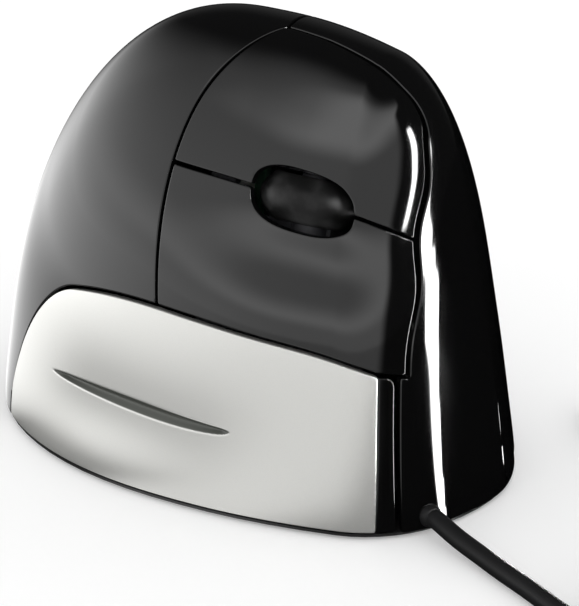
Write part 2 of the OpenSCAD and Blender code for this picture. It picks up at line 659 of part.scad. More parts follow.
module lower_switch() {
    color([0.85, 0.2, 0.15]) switch(leg_x + board_t, low_y, low_z, [12.8, 5.8], low_switch_h);
}

// Thumb side: the same frame, turned over, with one small switch behind each thumb button
thumb_seat = skin(at_y(16), thumb_v - 0.053);
thumb_tilt = let (n = normal(at_y(16), thumb_v - 0.053)) atan2(n.z, -n.x);
thumb_face = -8.8;
thumb_frame_y = [0, 26];
module at_thumb() translate(thumb_seat) mirror([1, 0, 0]) rotate([0, -thumb_tilt, 0]) children();
module thumb_frame() {
    color([0.16, 0.16, 0.18])
    difference() {
        mirror([1, 0, 0])
            frame([-thumb_seat.x, thumb_seat.y, thumb_seat.z], thumb_tilt, thumb_face, 7, thumb_leg, thumb_frame_y);
        screw_bores();
    }
}
module thumb_board() {
    color([0.05, 0.30, 0.12])
    at_thumb() translate([thumb_face, 1 - thumb_seat.y, -7]) cube([board_t, 24, 13]);
}
module thumb_switches() {
    color([0.2, 0.2, 0.22])
    at_thumb() {
        switch(thumb_face + board_t, 7.2 - thumb_seat.y, 0, [6, 6], 4.2);
        switch(thumb_face + board_t, 19.8 - thumb_seat.y, 0, [6, 6], 1.4);
    }
}

// Main board on its posts, with the sensor over the window in the base
board_z = floor_z + 3;
board_rear = rear_y + 17.5;
board_left = -11.5;
board_right = leg_x - 4.9;
module main_board() {
    color([0.05, 0.30, 0.12])
    difference() {
        translate([board_left, board_rear, board_z]) cube([board_right - board_left, 30 - board_rear, board_t]);
        translate([window.x, window.y, 0]) cylinder(h = 12, d = 6, $fn = 32);
        for (p = post_spots) translate([p.x, p.y, 0]) cylinder(h = 12, d = 2.3, $fn = 24);
    }
}
module board_screws() {
    color([0.62, 0.62, 0.64])
    for (p = post_spots) translate([p.x, p.y, 0]) difference() {
        union() {
            translate([0, 0, board_z + board_t]) cylinder(h = 1.2, d = 4, $fn = 24);
            translate([0, 0, 3.4]) cylinder(h = board_z + board_t - 3.4, d = 2, $fn = 24);
        }
        translate([0, 0, board_z + board_t + 0.7]) cylinder(h = 2, d = 1.8, $fn = 6);
    }
}
module controller_chip() {
    color([0.04, 0.04, 0.05]) translate([-1, board_rear + 12, board_z + board_t]) cube([8, 8, 1.4]);
}
module optical_sensor() {
    color([0.06, 0.06, 0.07]) translate([window.x - 6, window.y - 4.5, board_z + board_t]) cube([12, 9, 2.6]);
}
module sensor_lens() {
    color([0.8, 0.85, 0.9, 0.6])
    translate([window.x, window.y, 0]) {
        translate([-lens_w/2, -6, floor_z]) cube([lens_w, 12, board_z - floor_z]);
        translate([0, 0, foot_stand + 0.4]) cylinder(h = base_t, d = 7, $fn = 32);
    }
}
socket = [10, 26.5];
module lead_socket() {
    color([0.9, 0.9, 0.86]) translate([socket.x - 4, socket.y - 3, board_z + board_t]) cube([8, 6, 4]);
}

// The lead leaves the nose at the foot, low on the finger side.
exit = [20.8, 45.6, foot_z + 2.2];
heading = 64;
sleeve_d = 4.2;
sleeve_in = 8;
sleeve_out = 1.2;
module at_exit() translate(exit) rotate([0, 0, heading]) children();
module strain_relief() {
    color([0.05, 0.05, 0.05])
    at_exit() {
        translate([-sleeve_in, 0, 0]) rotate([0, 90, 0]) cylinder(h = sleeve_in + sleeve_out, d = sleeve_d, $fn = 32);
        translate([-sleeve_in, -3.4, -sleeve_d/2]) cube([1.6, 6.8, 5.6]);
    }
}

// A round lead along a run of points; toward gives the directions of its two ends.
module lead(points, d, sides, toward) {
    last = len(points) - 1;
    function way(i) = unit(i == 0 ? toward[0] : i == last ? toward[1] : points[i + 1] - points[i - 1]);
    rings = [for (i = [0:last]) let (t = way(i), side = unit(cross(t, [0, 0, 1])), up = cross(side, t))
        for (k = [0:sides - 1]) points[i] + d/2*(cos(360*k/sides)*side + sin(360*k/sides)*up)];
    function at(i, k) = i*sides + (k % sides);
    round_faces = [for (i = [0:last - 1], k = [0:sides - 1]) each
        [[at(i, k), at(i + 1, k), at(i + 1, k + 1)], [at(i, k), at(i + 1, k + 1), at(i, k + 1)]]];
    polyhedron(points = rings, convexity = 10, faces = concat(round_faces,
        [[for (k = [0:sides - 1]) at(0, k)]], [[for (k = [0:sides - 1]) at(last, sides - 1 - k)]]));
}
// Smooth run through a few places
function smooth(p, steps) =
    let (n = len(p) - 1)
    concat([for (i = [0:n - 1], k = [0:steps - 1])
        let (a = p[max(i - 1, 0)], b = p[i], c = p[i + 1], e = p[min(i + 2, n)], t = k/steps)
        0.5*(2*b + (c - a)*t + (2*a - 5*b + 4*c - e)*t*t + (3*b - a - 3*c + e)*t*t*t)], [p[n]]);
way_out = [cos(heading), sin(heading), 0];
inner_d = 3;
module inner_lead() {
    color([0.06, 0.06, 0.06])
    lead(smooth([exit - sleeve_in*way_out, exit - (sleeve_in + 1.5)*way_out, [13.2, 34, 7.4],
        [socket.x, socket.y + 4.5, board_z + board_t + 2.2], [socket.x, socket.y + 3, board_z + board_t + 2.2]], 4),
        inner_d, 8, [-way_out, [0, -1, 0]]);
}
run_start = exit + sleeve_out*way_out;
coil_z = 2.8;
coil_in = 90 - heading;
coil_mid = [22.8, 111];
coil_pitch = 3.95;
layer_h = 3.9;
coil_start = coil_mid + (coil_r + coil_turns*coil_pitch/2)*[cos(-coil_in), sin(-coil_in)];
module cable_run() {
    rest = lead_d/2;
    color([0.07, 0.07, 0.07])
    lead(smooth([run_start, run_start + 1.2*way_out, [22.5, 49.1, 3.1], [24.4, 53, 2.6], [26.4, 57.9, 2.1],
        [28.6, 62.8, rest + 0.1], [31.4, 68.9, rest], [34.6, 75.2, rest], [38.3, 82.7, rest + 0.1], [42, 90.3, 2.3],
        [coil_start.x - lead_d*way_out.x, coil_start.y - lead_d*way_out.y, coil_z]], 3),
        lead_d, 10, [way_out, way_out]);
}
// Coil: layers wound in and out in turn, each climb half a turn long
layer_span = coil_turns + 0.5;
coil_end = coil_layers*layer_span - 0.5;
function coil_at(t) =
    let (
        layer = floor((t + 0.5)/layer_span),
        q = clamp((t + 0.5 - layer*layer_span)/0.5),
        swing = abs((t + 0.25) % (2*layer_span) - layer_span),
        r = coil_r + coil_turns*coil_pitch/2 + coil_pitch*(swing - layer_span + 0.25),
        z = coil_z + layer_h*(layer < 1 ? 0 : layer - 1 + q*q*(3 - 2*q)),
        turn = 360*t - coil_in
    )
    [coil_mid.x + r*cos(turn), coil_mid.y + r*sin(turn), z];
module cable_coil() {
    steps = 24*coil_end;
    path = [for (k = [0:steps]) coil_at(k/24)];
    out = path[len(path) - 1];
    color([0.07, 0.07, 0.07])
    lead(concat([path[0] - lead_d*way_out], path, [out - lead_d*way_out]), lead_d, 6, [way_out, -way_out]);
}
tail_start = coil_at(coil_end) - lead_d*way_out;
plug_at = [tail_start.x - 17.2, tail_start.y - 34.4, 4.2];
module cable_tail() {
    color([0.07, 0.07, 0.07])
    lead(smooth([tail_start, tail_start - 1.2*way_out, tail_start - [3.5, 7.2, 0.9], tail_start - [7, 14.4, 3.5],
        tail_start - [10.5, 21.5, 6.9], tail_start - [14, 28.6, 9.5], plug_at + 1.2*way_out, plug_at], 3),
        lead_d, 8, [-way_out, -way_out]);
}
// A flat strap round the bundle
tie_turn = 107;
tie_in = 11.9;
tie_out = 28.1;
tie_w = 4;
tie_t = 0.8;
module cable_tie() {
    top = coil_z + (coil_layers - 1)*layer_h + lead_d/2 + 0.4;
    color([0.12, 0.12, 0.12])
    translate([coil_mid.x, coil_mid.y, 0]) rotate([0, 0, tie_turn]) difference() {
        translate([tie_in - tie_t, -tie_w/2, 0]) cube([tie_out - tie_in + 2*tie_t, tie_w, top + tie_t]);
        translate([tie_in, -tie_w, tie_t]) cube([tie_out - tie_in, 2*tie_w, top - tie_t]);
    }
}

// Plug: a moulded grip, a folded metal shell and the tongue inside it
grip = [22, 15.5, 7.8];
shell = [12, 12, 4.5];
shell_t = 0.3;
module at_plug() translate(plug_at) rotate([0, 0, heading + 180]) children();
module rounded(w, h, r) offset(r = r, $fn = 24) square([w - 2*r, h - 2*r], center = true);
module plug_grip() {
    color([0.05, 0.05, 0.05])
    at_plug() rotate([90, 0, 90]) linear_extrude(grip.x) rounded(grip.y, grip.z, 2);
}
module plug_shell() {
    color([0.75, 0.75, 0.77])
    at_plug() translate([grip.x, 0, 0]) difference() {
        translate([0, -shell.y/2, -shell.z/2]) cube(shell);
        translate([-1, -shell.y/2 + shell_t, -shell.z/2 + shell_t]) cube([shell.x + 2, shell.y - 2*shell_t, shell.z - 2*shell_t]);
        for (side = [-1, 1]) translate([5, side*3 - 1.1, 0]) cube([2.4, 2.2, 4]);
    }
}
module plug_tongue() {
    color([0.9, 0.9, 0.88])
    at_plug() translate([grip.x, -5.6, -1.75]) cube([11, 11.2, 1.8]);
}

palm_cover();
front_cover();
thumb_shell();
upper_button();
middle_button();
lower_button();
lower_end();
rear_thumb_button();
front_thumb_button();
base_plate();
glide_feet();
base_screws();
wheel_tyre();
wheel_hub();
wheel_carrier();
wheel_encoder();
wheel_switch();
finger_frame();
button_board();
upper_switch();
middle_switch();
lower_board();
lower_switch();
thumb_frame();
thumb_board();
thumb_switches();
main_board();
board_screws();
controller_chip();
optical_sensor();
sensor_lens();
lead_socket();
inner_lead();
strain_relief();
cable_run();
cable_coil();
cable_tail();
cable_tie();
plug_grip();
plug_shell();
plug_tongue();
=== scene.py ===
import bpy
import math
import numpy as np
from mathutils import Matrix, Vector


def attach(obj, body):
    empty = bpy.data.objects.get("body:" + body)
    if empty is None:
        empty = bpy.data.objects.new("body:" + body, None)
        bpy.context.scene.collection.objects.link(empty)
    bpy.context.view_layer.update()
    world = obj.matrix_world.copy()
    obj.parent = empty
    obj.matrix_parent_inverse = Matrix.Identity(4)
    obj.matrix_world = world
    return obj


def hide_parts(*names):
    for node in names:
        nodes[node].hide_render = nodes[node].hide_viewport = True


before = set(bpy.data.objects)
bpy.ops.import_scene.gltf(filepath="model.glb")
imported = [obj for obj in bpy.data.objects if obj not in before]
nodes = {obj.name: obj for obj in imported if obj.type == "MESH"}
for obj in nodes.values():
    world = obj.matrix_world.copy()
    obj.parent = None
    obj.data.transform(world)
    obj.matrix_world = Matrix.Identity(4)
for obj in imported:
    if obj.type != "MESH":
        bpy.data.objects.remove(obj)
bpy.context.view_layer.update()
scene = bpy.context.scene
scene.view_settings.view_transform = "Standard"

# Camera: a long lens on the finger side, a little ahead of the mouse and above it.
# It looks at the middle of the body, and the shift sets the body high in the frame.
azimuth = math.radians(30.15)
elevation = math.radians(24.38)
roll = math.radians(0.06)
aim = Vector((0, 0, 0.035))
EYE_FAR = 0.465
FRAME_LONG_PX = 606
BODY_LEFT_PX = 27.2
BODY_UP_PX = 52.4
to_eye = Vector((math.cos(azimuth)*math.cos(elevation), math.sin(azimuth)*math.cos(elevation),
                 math.sin(elevation)))
flat_right = Vector((-math.sin(azimuth), math.cos(azimuth), 0))
flat_up = to_eye.cross(flat_right)
right = flat_right*math.cos(roll) + flat_up*math.sin(roll)
up = flat_up*math.cos(roll) - flat_right*math.sin(roll)
bpy.ops.object.camera_add()
camera = bpy.context.object
camera.name = "photo_camera"
facing = Matrix((right, up, to_eye)).transposed().to_4x4()
camera.matrix_world = Matrix.Translation(aim + EYE_FAR*to_eye) @ facing
camera.data.sensor_width = 36
camera.data.lens = 151.4
camera.data.shift_x = BODY_LEFT_PX/FRAME_LONG_PX
camera.data.shift_y = -BODY_UP_PX/FRAME_LONG_PX
scene.camera = camera

# Lead: a soft black 3.4 mm cable that leaves the nose at the foot, runs over the desk and is
# put away as a tied coil outside the picture, with its plug beside the coil.
LEAD_D = 0.0034
STUB = 0.0012
BEND_STEPS = 5
TURN_STEPS = 48
WELD = 0.000002
heading = math.radians(64)
way_out = Vector((math.cos(heading), math.sin(heading), 0))
exit_at = Vector((0.0208, 0.0456, 0.0033))
coil_mid = Vector((0.0228, 0.111, 0))
coil_r = 0.0205
coil_turns = 3
coil_layers = 4
coil_pitch = 0.00395
layer_h = 0.0039
coil_z = 0.0028
layer_span = coil_turns + 0.5
coil_end = coil_layers*layer_span - 0.5


def coil_point(turns):
    layer = math.floor((turns + 0.5)/layer_span)
    climb = min(max((turns + 0.5 - layer*layer_span)/0.5, 0), 1)
    swing = abs((turns + 0.25) % (2*layer_span) - layer_span)
    radius = coil_r + coil_turns*coil_pitch/2 + coil_pitch*(swing - layer_span + 0.25)
    height = coil_z + (layer_h*(layer - 1 + climb*climb*(3 - 2*climb)) if layer >= 1 else 0)
    angle = 2*math.pi*turns - (math.pi/2 - heading)
    return coil_mid + Vector((radius*math.cos(angle), radius*math.sin(angle), height))


def smooth_run(places, steps):
    run = []
    last = len(places) - 1
    for i in range(last):
        a, b, c, d = (places[max(i - 1, 0)], places[i], places[i + 1], places[min(i + 2, last)])
        for k in range(steps):
            t = k/steps
            run.append(0.5*(2*b + (c - a)*t + (2*a - 5*b + 4*c - d)*t*t + (3*b - a - 3*c + d)*t*t*t))
    return run + [places[last]]


rest = LEAD_D/2
run_start = exit_at + STUB*way_out
coil_start = coil_point(0)
run = smooth_run([run_start, run_start + STUB*way_out] + [Vector(p) for p in (
    (0.0225, 0.0491, 0.0031), (0.0244, 0.053, 0.0026), (0.0264, 0.0579, 0.0021),
    (0.0286, 0.0628, rest + 0.0001), (0.0314, 0.0689, rest), (0.0346, 0.0752, rest),
    (0.0383, 0.0827, rest + 0.0001), (0.042, 0.0903, 0.0023))]
    + [coil_start - LEAD_D*way_out], BEND_STEPS)
coil = [coil_point(k/TURN_STEPS) for k in range(int(TURN_STEPS*coil_end) + 1)]
tail_start = coil[-1] - LEAD_D*way_out
plug_at = Vector((tail_start.x - 0.0172, tail_start.y - 0.0344, 0.0042))
tail = smooth_run([tail_start, tail_start - STUB*way_out] + [tail_start - Vector(p) for p in (
    (0.0035, 0.0072, 0.0009), (0.007, 0.0144, 0.0035), (0.0105, 0.0215, 0.0069), (0.014, 0.0286, 0.0095))]
    + [plug_at + STUB*way_out, plug_at], BEND_STEPS)
route = run + coil + tail
lead_curve = bpy.data.curves.new("lead", "CURVE")
lead_curve.dimensions = "3D"
lead_curve.bevel_depth = 1
lead_curve.bevel_resolution = 5
lead_curve.use_fill_caps = True
line = lead_curve.splines.new("POLY")
line.points.add(len(route) - 1)
for point, place in zip(line.points, route):
    point.co = (*place, 1)
    point.radius = LEAD_D/2
line.use_smooth = True
lead = bpy.data.objects.new("lead", lead_curve)
scene.collection.objects.link(lead)
lead_length = sum((b - a).length for a, b in zip(route, route[1:]))
on_lead = [nodes[n] for n in ("cable_tie", "plug_grip", "plug_shell", "plug_tongue")]
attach(lead, "housing")
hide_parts("cable_run", "cable_coil", "cable_tail")


class Wire:
    """A shader socket that takes part in sums."""

    def __init__(self, finish, socket):
        self.finish = finish
        self.socket = socket

    def sum(self, operation, first, second):
        return self.finish.add("Math", {"operation": operation}, first, second)

    def __add__(self, other):
        return self.sum("ADD", self, other)

    def __sub__(self, other):
        return self.sum("SUBTRACT", self, other)

    def __rsub__(self, other):
        return self.sum("SUBTRACT", other, self)

    def __mul__(self, other):
        return self.sum("MULTIPLY", self, other)

    def __gt__(self, other):
        return self.sum("GREATER_THAN", self, other)

    __radd__ = __add__
    __rmul__ = __mul__


class Finish:
    """A finish for pieces: its material, its shader and the place on the piece."""

    def __init__(self, name, tree=None):
        if tree is None:
            self.material = bpy.data.materials.new(name)
            self.material.use_nodes = True
            tree = self.material.node_tree
            self.shader = tree.nodes["Principled BSDF"]
        self.tree = tree

    def add(self, kind, settings, *values, out=0, **named):
        node = self.tree.nodes.new("ShaderNode" + kind)
        for key, value in settings.items():
            setattr(node, key, value)
        by_name = [(node.inputs[key.replace("_", " ")], value) for key, value in named.items()]
        for socket, value in list(zip(node.inputs, values)) + by_name:
            self.plug(socket, value)
        return Wire(self, node.outputs[out])

    def plug(self, socket, value):
        if isinstance(value, Wire):
            self.tree.links.new(value.socket, socket)
        else:
            socket.default_value = value

    def place(self):
        return self.add("TexCoord", {}, out=3)

    def noise(self, scale, detail=2.0):
        return self.add("TexNoise", {}, Vector=self.place(), Scale=scale, Detail=detail)

    def between(self, value, low, high, to_low=0.0, to_high=1.0):
        return self.add("MapRange", {"interpolation_type": "SMOOTHSTEP"}, value, low, high, to_low, to_high)

    def tint(self, factor, first, second):
        node = self.tree.nodes.new("ShaderNodeMix")
        node.data_type = "RGBA"
        for key, value in ((0, factor), (6, first), (7, second)):
            self.plug(node.inputs[key], value)
        return Wire(self, node.outputs[2])

    def bump(self, height, strength, distance):
        return self.add("Bump", {}, Strength=strength, Distance=distance, Height=height)

    def surface(self, **named):
        for key, value in named.items():
            self.plug(self.shader.inputs[key.replace("_", " ")], value)

    def put_on(self, *pieces):
        for piece in pieces:
            piece.data.materials.clear()
            piece.data.materials.append(self.material)


across_out = Vector((-way_out.y, way_out.x, 0))
relief_of = [(-0.008, 0.0005), (-0.008, 0.0021), (-0.004, 0.0021), (0.0001, 0.0021), (0.0005, 0.00204),
             (0.0009, 0.0019), (0.0012, 0.00172), (0.0012, 0.0016), (0.0012, 0.0005)]
bpy.ops.mesh.primitive_grid_add(x_subdivisions=48, y_subdivisions=len(relief_of) - 1, size=1)
relief = bpy.context.object
relief.name = "strain_sleeve"
for vertex in relief.data.vertices:
    angle = 2*math.pi*(vertex.co.x + 0.5)
    far, wide = relief_of[round((vertex.co.y + 0.5)*(len(relief_of) - 1))]
    vertex.co = exit_at + far*way_out + wide*(math.cos(angle)*across_out + Vector((0, 0, math.sin(angle))))
bpy.ops.object.mode_set(mode="EDIT")
bpy.ops.mesh.select_all(action="SELECT")
bpy.ops.mesh.remove_doubles(threshold=WELD)
bpy.ops.mesh.fill_holes(sides=0)
bpy.ops.mesh.normals_make_consistent(inside=False)
bpy.ops.object.mode_set(mode="OBJECT")
bpy.ops.object.shade_smooth()
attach(relief, "housing")
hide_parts("strain_relief")

sleeve = Finish("lead_sleeve")
sleeve_grain = sleeve.noise(2600, 3)
sleeve.surface(Base_Color=sleeve.tint(sleeve.noise(70), (0.010, 0.010, 0.010, 1), (0.017, 0.017, 0.018, 1)),
               Roughness=0.36 + 0.16*sleeve_grain, Specular_IOR_Level=0.15,
               Normal=sleeve.bump(sleeve_grain, 0.12, 0.0001))
sleeve.put_on(lead, relief)
# The gloss of the body doesn't mirror the lead that is put away
for piece in (lead, *on_lead):
    piece.visible_glossy = False

# Palm cover: the gloss black rear half of the housing, moulded in ABS, 1.6 mm thick.
# It takes the palm, and its front edge laps over the tongues of the finger buttons.
WALL = 0.0016
SEAM = 0.6
FRONT_GAP = 1.0
BODY_L = 100
BODY_H = 79.5
NOSE_R = 15.6
NOSE_Y = 48.5
REAR_Y = NOSE_Y - BODY_L
BARREL_L = BODY_L - NOSE_R
FOOT_Z = 1.1
GIRTH = 96
FINGER_W = 34
FINGER_TAPER = 8
THUMB_W = 30
THUMB_TAPER = 13.5
WIDEST_Y = 8
HIGHEST_Y = -2.5
NOSE_DROP = 0.055
RIDGE_X = -1.4
RIDGE_SHIFT = 4.3
LIP_W = 3.2
GROOVE_D = 0.8
LEDGE_W = 5.6
HOLLOW_D = 7
LOW_H = 9
NOSE_SOFT = 16
NOSE_BULGE = 3.6
LEAN = 0.13
MM = 0.001


def clamp(t):
    return min(max(t, 0), 1)


def mix(a, b, t):
    return a + (b - a)*t


def ease(a, b, t):
    q = clamp((t - a)/(b - a))
    return q*q*(3 - 2*q)


def bell(t, half):
    return math.exp(-(t/half)**2)


def rounding(y, full, n):
    return 1 if y >= full else max(1 - ((full - y)/(full - REAR_Y))**n, 0)**(1/n)


def section_n(v):
    return 2 + ((1.9 if v >= 0 else 2.12) - 2)*ease(0, 0.55, abs(v))


def nose_turn(v):
    return mix(84, 70, math.sin(math.pi/2*abs(v))**(2/section_n(v)))


def at_turn(angle, v):
    return 1 + angle/nose_turn(v)


def at_y(y, v=0.5):
    over = y - REAR_Y - BARREL_L
    if over <= 0:
        return math.acos(-over/BARREL_L)/(math.pi/2)
    return at_turn(math.degrees(math.asin(over/NOSE_R)), v)


def barrel_y(s):
    return REAR_Y + BARREL_L*(1 - math.cos(math.pi/2*clamp(s)))


def s_gap(s, gap):
    return gap/(120 if s < 1 else NOSE_R*math.radians(75))


def skin(s, v):
    """A point of the outer skin: s runs from palm end to nose, v from thumb foot to finger foot."""
    v = min(max(v, -1), 1)
    turn = math.radians(nose_turn(v)*clamp(s - 1))
    face = 1 - clamp(s - 2)
    y_barrel = barrel_y(s)
    y = y_barrel + NOSE_R*math.sin(turn)
    inset = NOSE_R*(1 - math.cos(turn))
    plan = rounding(y_barrel, WIDEST_Y, 2.25)
    past = (y - WIDEST_Y)/(NOSE_Y - WIDEST_Y)
    taper = clamp(past)**2
    drop = NOSE_DROP*clamp((y - HIGHEST_Y)/(NOSE_Y - HIGHEST_Y))**2
    ridge = RIDGE_X*plan + RIDGE_SHIFT*(past + math.sqrt(past*past + 0.02))/2
    to_thumb = THUMB_W*plan - THUMB_TAPER*taper + ridge
    to_finger = FINGER_W*plan - FINGER_TAPER*taper - ridge
    half = mix(to_thumb, to_finger, ease(-0.35, 0.35, v))
    tau = math.pi/2*(1 - abs(v))
    n = section_n(v)
    rise_by = math.sin(tau)**(2/n)
    out_by = max(math.cos(tau), 0)**(2/n)
    rise = BODY_H*rounding(y_barrel, HIGHEST_Y, 2.1)*(1 - drop)*rise_by
    groove = 0
    if v >= 0:
        lip = LIP_W*plan*(1 - ease(-27, 45, y))*bell(rise, LOW_H)
        groove = GROOVE_D*ease(-8, 22, y)*(bell(v - 0.28, 0.10) + bell(v - 0.58, 0.07))
        groove = groove*(1 - 0.85*ease(0, 50, math.degrees(turn)))
        reach = half*out_by + lip - groove*out_by
    else:
        ledge = LEDGE_W*plan*bell(y - 2, 30)*bell(rise, LOW_H)
        hollow = HOLLOW_D*math.exp(-((y - 8)/30)**4)*bell(rise - 34, 14)
        reach = half*out_by + (ledge - hollow)*ease(0, 0.35, -v)
    width = reach*(1 - inset/math.sqrt(reach*reach + NOSE_SOFT**2))*face
    z = (rise - groove*rise_by - inset*rise_by*rise_by)*face
    bulge = NOSE_BULGE*(1 - face*face) - 2*ease(0.5, 0.9, v)*face*face*(1 - face)
    return Vector((ridge + (width if v >= 0 else -width),
                   y - LEAN*z*ease(-1.2, NOSE_Y, y) + bulge, z + FOOT_Z))*MM


# The seams that bound the shells, as s for a v or v for an s
EDGE_R = 0.3
HALF_SEAM = (SEAM/2 + EDGE_R)/GIRTH
FOOT_V = 1 - EDGE_R/GIRTH
CORNER_V = 0.066
LOWER_V = 0.70
LOWER_REAR_Y = REAR_Y + 10.6
LOWER_ROUND_Y = REAR_Y + 27.5
THUMB_V = -0.40
THUMB_REAR_Y = REAR_Y + 25.5
THUMB_ROUND_Y = REAR_Y + 43.5


def palm_s(v):
    return at_y(-5.7 + 58*(max(v, CORNER_V) - 0.54)**2)


def lower_line(y):
    return LOWER_V + 0.0003*(y - LOWER_ROUND_Y) + 0.019*clamp((y - 16)/24.6)**4


LOWER_FRONT_V = lower_line(40.6)


def lower_edge(s):
    y = barrel_y(s)
    t = clamp((LOWER_ROUND_Y - y)/(LOWER_ROUND_Y - LOWER_REAR_Y))
    ahead = NOSE_R*math.sin(math.radians(nose_turn(LOWER_V)*clamp(s - 1)))
    return lower_line(max(y, LOWER_ROUND_Y) + ahead) + 0.24*(1 - math.sqrt(1 - t*t))


def thumb_edge(s):
    y = barrel_y(s)
    t = clamp((THUMB_ROUND_Y - y)/(THUMB_ROUND_Y - THUMB_REAR_Y))
    return THUMB_V - 0.3*(1 - math.sqrt(1 - t*t))


def steps(a, b, count):
    return [mix(a, b, k/count) for k in range(count + 1)]


def even(runs, count):
    """Runs of (s, v) spots, end to end, in count even steps over the skin that keep the runs' ends."""
    gone = []
    for spots in runs:
        places = [skin(*spot) for spot in spots]
        gone.append([0])
        for a, b in zip(places, places[1:]):
            gone[-1].append(gone[-1][-1] + (b - a).length)
    whole = sum(g[-1] for g in gone)
    found = [runs[0][0]]
    done = 0
    for spots, way in zip(runs, gone):
        done += way[-1]
        parts = max(round(count*done/whole) + 1 - len(found), 1)
        k = 0
        for i in range(1, parts + 1):
            want = way[-1]*i/parts
            while k < len(spots) - 2 and way[k + 1] < want:
                k += 1
            t = clamp((want - way[k])/max(way[k + 1] - way[k], 1e-12))
            found.append((mix(spots[k][0], spots[k + 1][0], t), mix(spots[k][1], spots[k + 1][1], t)))
    return found


def plain(spot):
    return spot


def round_rear(spot):
    return (spot[0]*math.sin(math.pi/2*spot[1]), spot[0]*math.cos(math.pi/2*spot[1]))


def from_rear(at):
    return (math.hypot(*at), math.atan2(at[0], at[1])/(math.pi/2))


ROLL = (0, 30, 60, 90, 90)


def lies(surface, s, v):
    """Outward direction of a surface at a spot."""
    d = 0.002
    across = surface(s, v + d) - surface(s, v - d)
    ahead = surface(min(s + d, 3), v) - surface(max(s - d, 0), v)
    return across.cross(ahead).normalized()


def sheet_of(name, across, along, place):
    """A grid whose points lie where place says, each with its own outward direction."""
    bpy.ops.object.select_all(action="DESELECT")
    bpy.ops.mesh.primitive_grid_add(x_subdivisions=across, y_subdivisions=along, size=1)
    piece = bpy.context.object
    piece.name = name
    marks = piece.data.attributes
    marks.new("faces_out", "FLOAT_VECTOR", "POINT")
    marks.new("painted_recess_shade", "FLOAT", "POINT")
    for vertex, way, deep in zip(piece.data.vertices, marks["faces_out"].data, marks["painted_recess_shade"].data):
        spot = (round((vertex.co.x + 0.5)*across), round((vertex.co.y + 0.5)*along))
        vertex.co, way.vector, deep.value = place(*spot)
    return piece


def level_skin(s, v):
    return 0


def shell(name, sides, counts, chart=(plain, plain), surface=skin, mark=level_skin):
    """A moulded shell between four seam runs: an outer sheet with a rolled rim, bridged to an inner one."""
    to_chart, to_spot = chart
    across, along = counts
    low, high = [np.array([to_chart(p) for p in even(sides[k], across)]) for k in ("low", "high")]
    left, right_side = [np.array([to_chart(p) for p in even(sides[k], along)]) for k in ("left", "right")]
    a = np.linspace(0, 1, across + 1)[:, None, None]
    b = np.linspace(0, 1, along + 1)[None, :, None]
    spots = (1 - b)*low[:, None] + b*high[:, None] + (1 - a)*left[None] + a*right_side[None]
    spots = spots - (1 - b)*((1 - a)*low[0] + a*low[-1]) - b*((1 - a)*high[0] + a*high[-1])
    for _ in range(400):
        middle_of = spots[2:, 1:-1] + spots[:-2, 1:-1] + spots[1:-1, 2:] + spots[1:-1, :-2]
        spots[1:-1, 1:-1] = middle_of/4
    points = {}
    ways = {}
    marks = {}
    for i in range(across + 1):
        for j in range(along + 1):
            s, v = to_spot(spots[i, j].tolist())
            ways[i, j] = lies(surface, s, v)
            points[i, j] = surface(s, v)
            marks[i, j] = mark(s, v)
    loop = [(i, 0) for i in range(across)] + [(across, j) for j in range(along)]
    loop += [(i, along) for i in range(across, 0, -1)] + [(0, j) for j in range(along, 0, -1)]
    rim = {}
    for k, spot in enumerate(loop):
        way = points[loop[(k + 1) % len(loop)]] - points[loop[k - 1]]
        rim[spot] = way.cross(ways[spot]).normalized()
    ring = len(ROLL) - 1
    roll_r = EDGE_R*MM

    def outer(i, j):
        spot = (min(max(i - ring, 0), across), min(max(j - ring, 0), along))
        past = max(ring - i, i - ring - across, ring - j, j - ring - along, 0)
        n = ways[spot]
        if past == 0:
            return points[spot], n, marks[spot]
        e = rim[spot]
        angle = math.radians(ROLL[past])
        deep = WALL if past == ring else roll_r*(1 - math.cos(angle))
        rolled = points[spot] + roll_r*math.sin(angle)*e - deep*n
        return rolled, math.cos(angle)*n + math.sin(angle)*e, marks[spot]

    def inner(i, j):
        spot = (across - i, j)
        return points[spot] - WALL*ways[spot], -ways[spot], 0

    inside = sheet_of(name + "_inside", across, along, inner)
    piece = sheet_of(name, across + 2*ring, along + 2*ring, outer)
    inside.select_set(True)
    bpy.ops.object.join()
    bpy.ops.object.mode_set(mode="EDIT")
    bpy.ops.mesh.select_all(action="SELECT")
    bpy.ops.mesh.remove_doubles(threshold=WELD)
    bpy.ops.mesh.select_all(action="DESELECT")
    bpy.ops.mesh.select_mode(type="EDGE")
    bpy.ops.mesh.select_non_manifold(extend=False)
    bpy.ops.mesh.bridge_edge_loops()
    bpy.ops.object.mode_set(mode="OBJECT")
    bpy.ops.object.shade_smooth()
    outward = [way.vector[:] for way in piece.data.attributes["faces_out"].data]
    piece.data.normals_split_custom_set_from_vertices(outward)
    return piece


lower_rear_s = at_y(LOWER_REAR_Y) - s_gap(0, SEAM + EDGE_R)
thumb_rear_s = at_y(THUMB_REAR_Y) - s_gap(0, SEAM + EDGE_R)
lap = s_gap(0, SEAM/2 + EDGE_R)


def rear_run(start_s, edge, foot_v, end_v, count):
    """From the foot up the rear end of a shell and along its upper edge to the palm seam."""
    first = edge(start_s + s_gap(0, SEAM + EDGE_R))
    end_s = palm_s(end_v) - lap
    side = 1 if foot_v > 0 else -1
    up_run = [(start_s, v) for v in steps(foot_v, first - side*HALF_SEAM, 8)]
    over = []
    for k in range(count + 1):
        s = mix(start_s, end_s, k*k/count/count)
        over.append((s, edge(max(s, start_s + s_gap(0, SEAM + EDGE_R))) - side*HALF_SEAM))
    return [up_run, over]


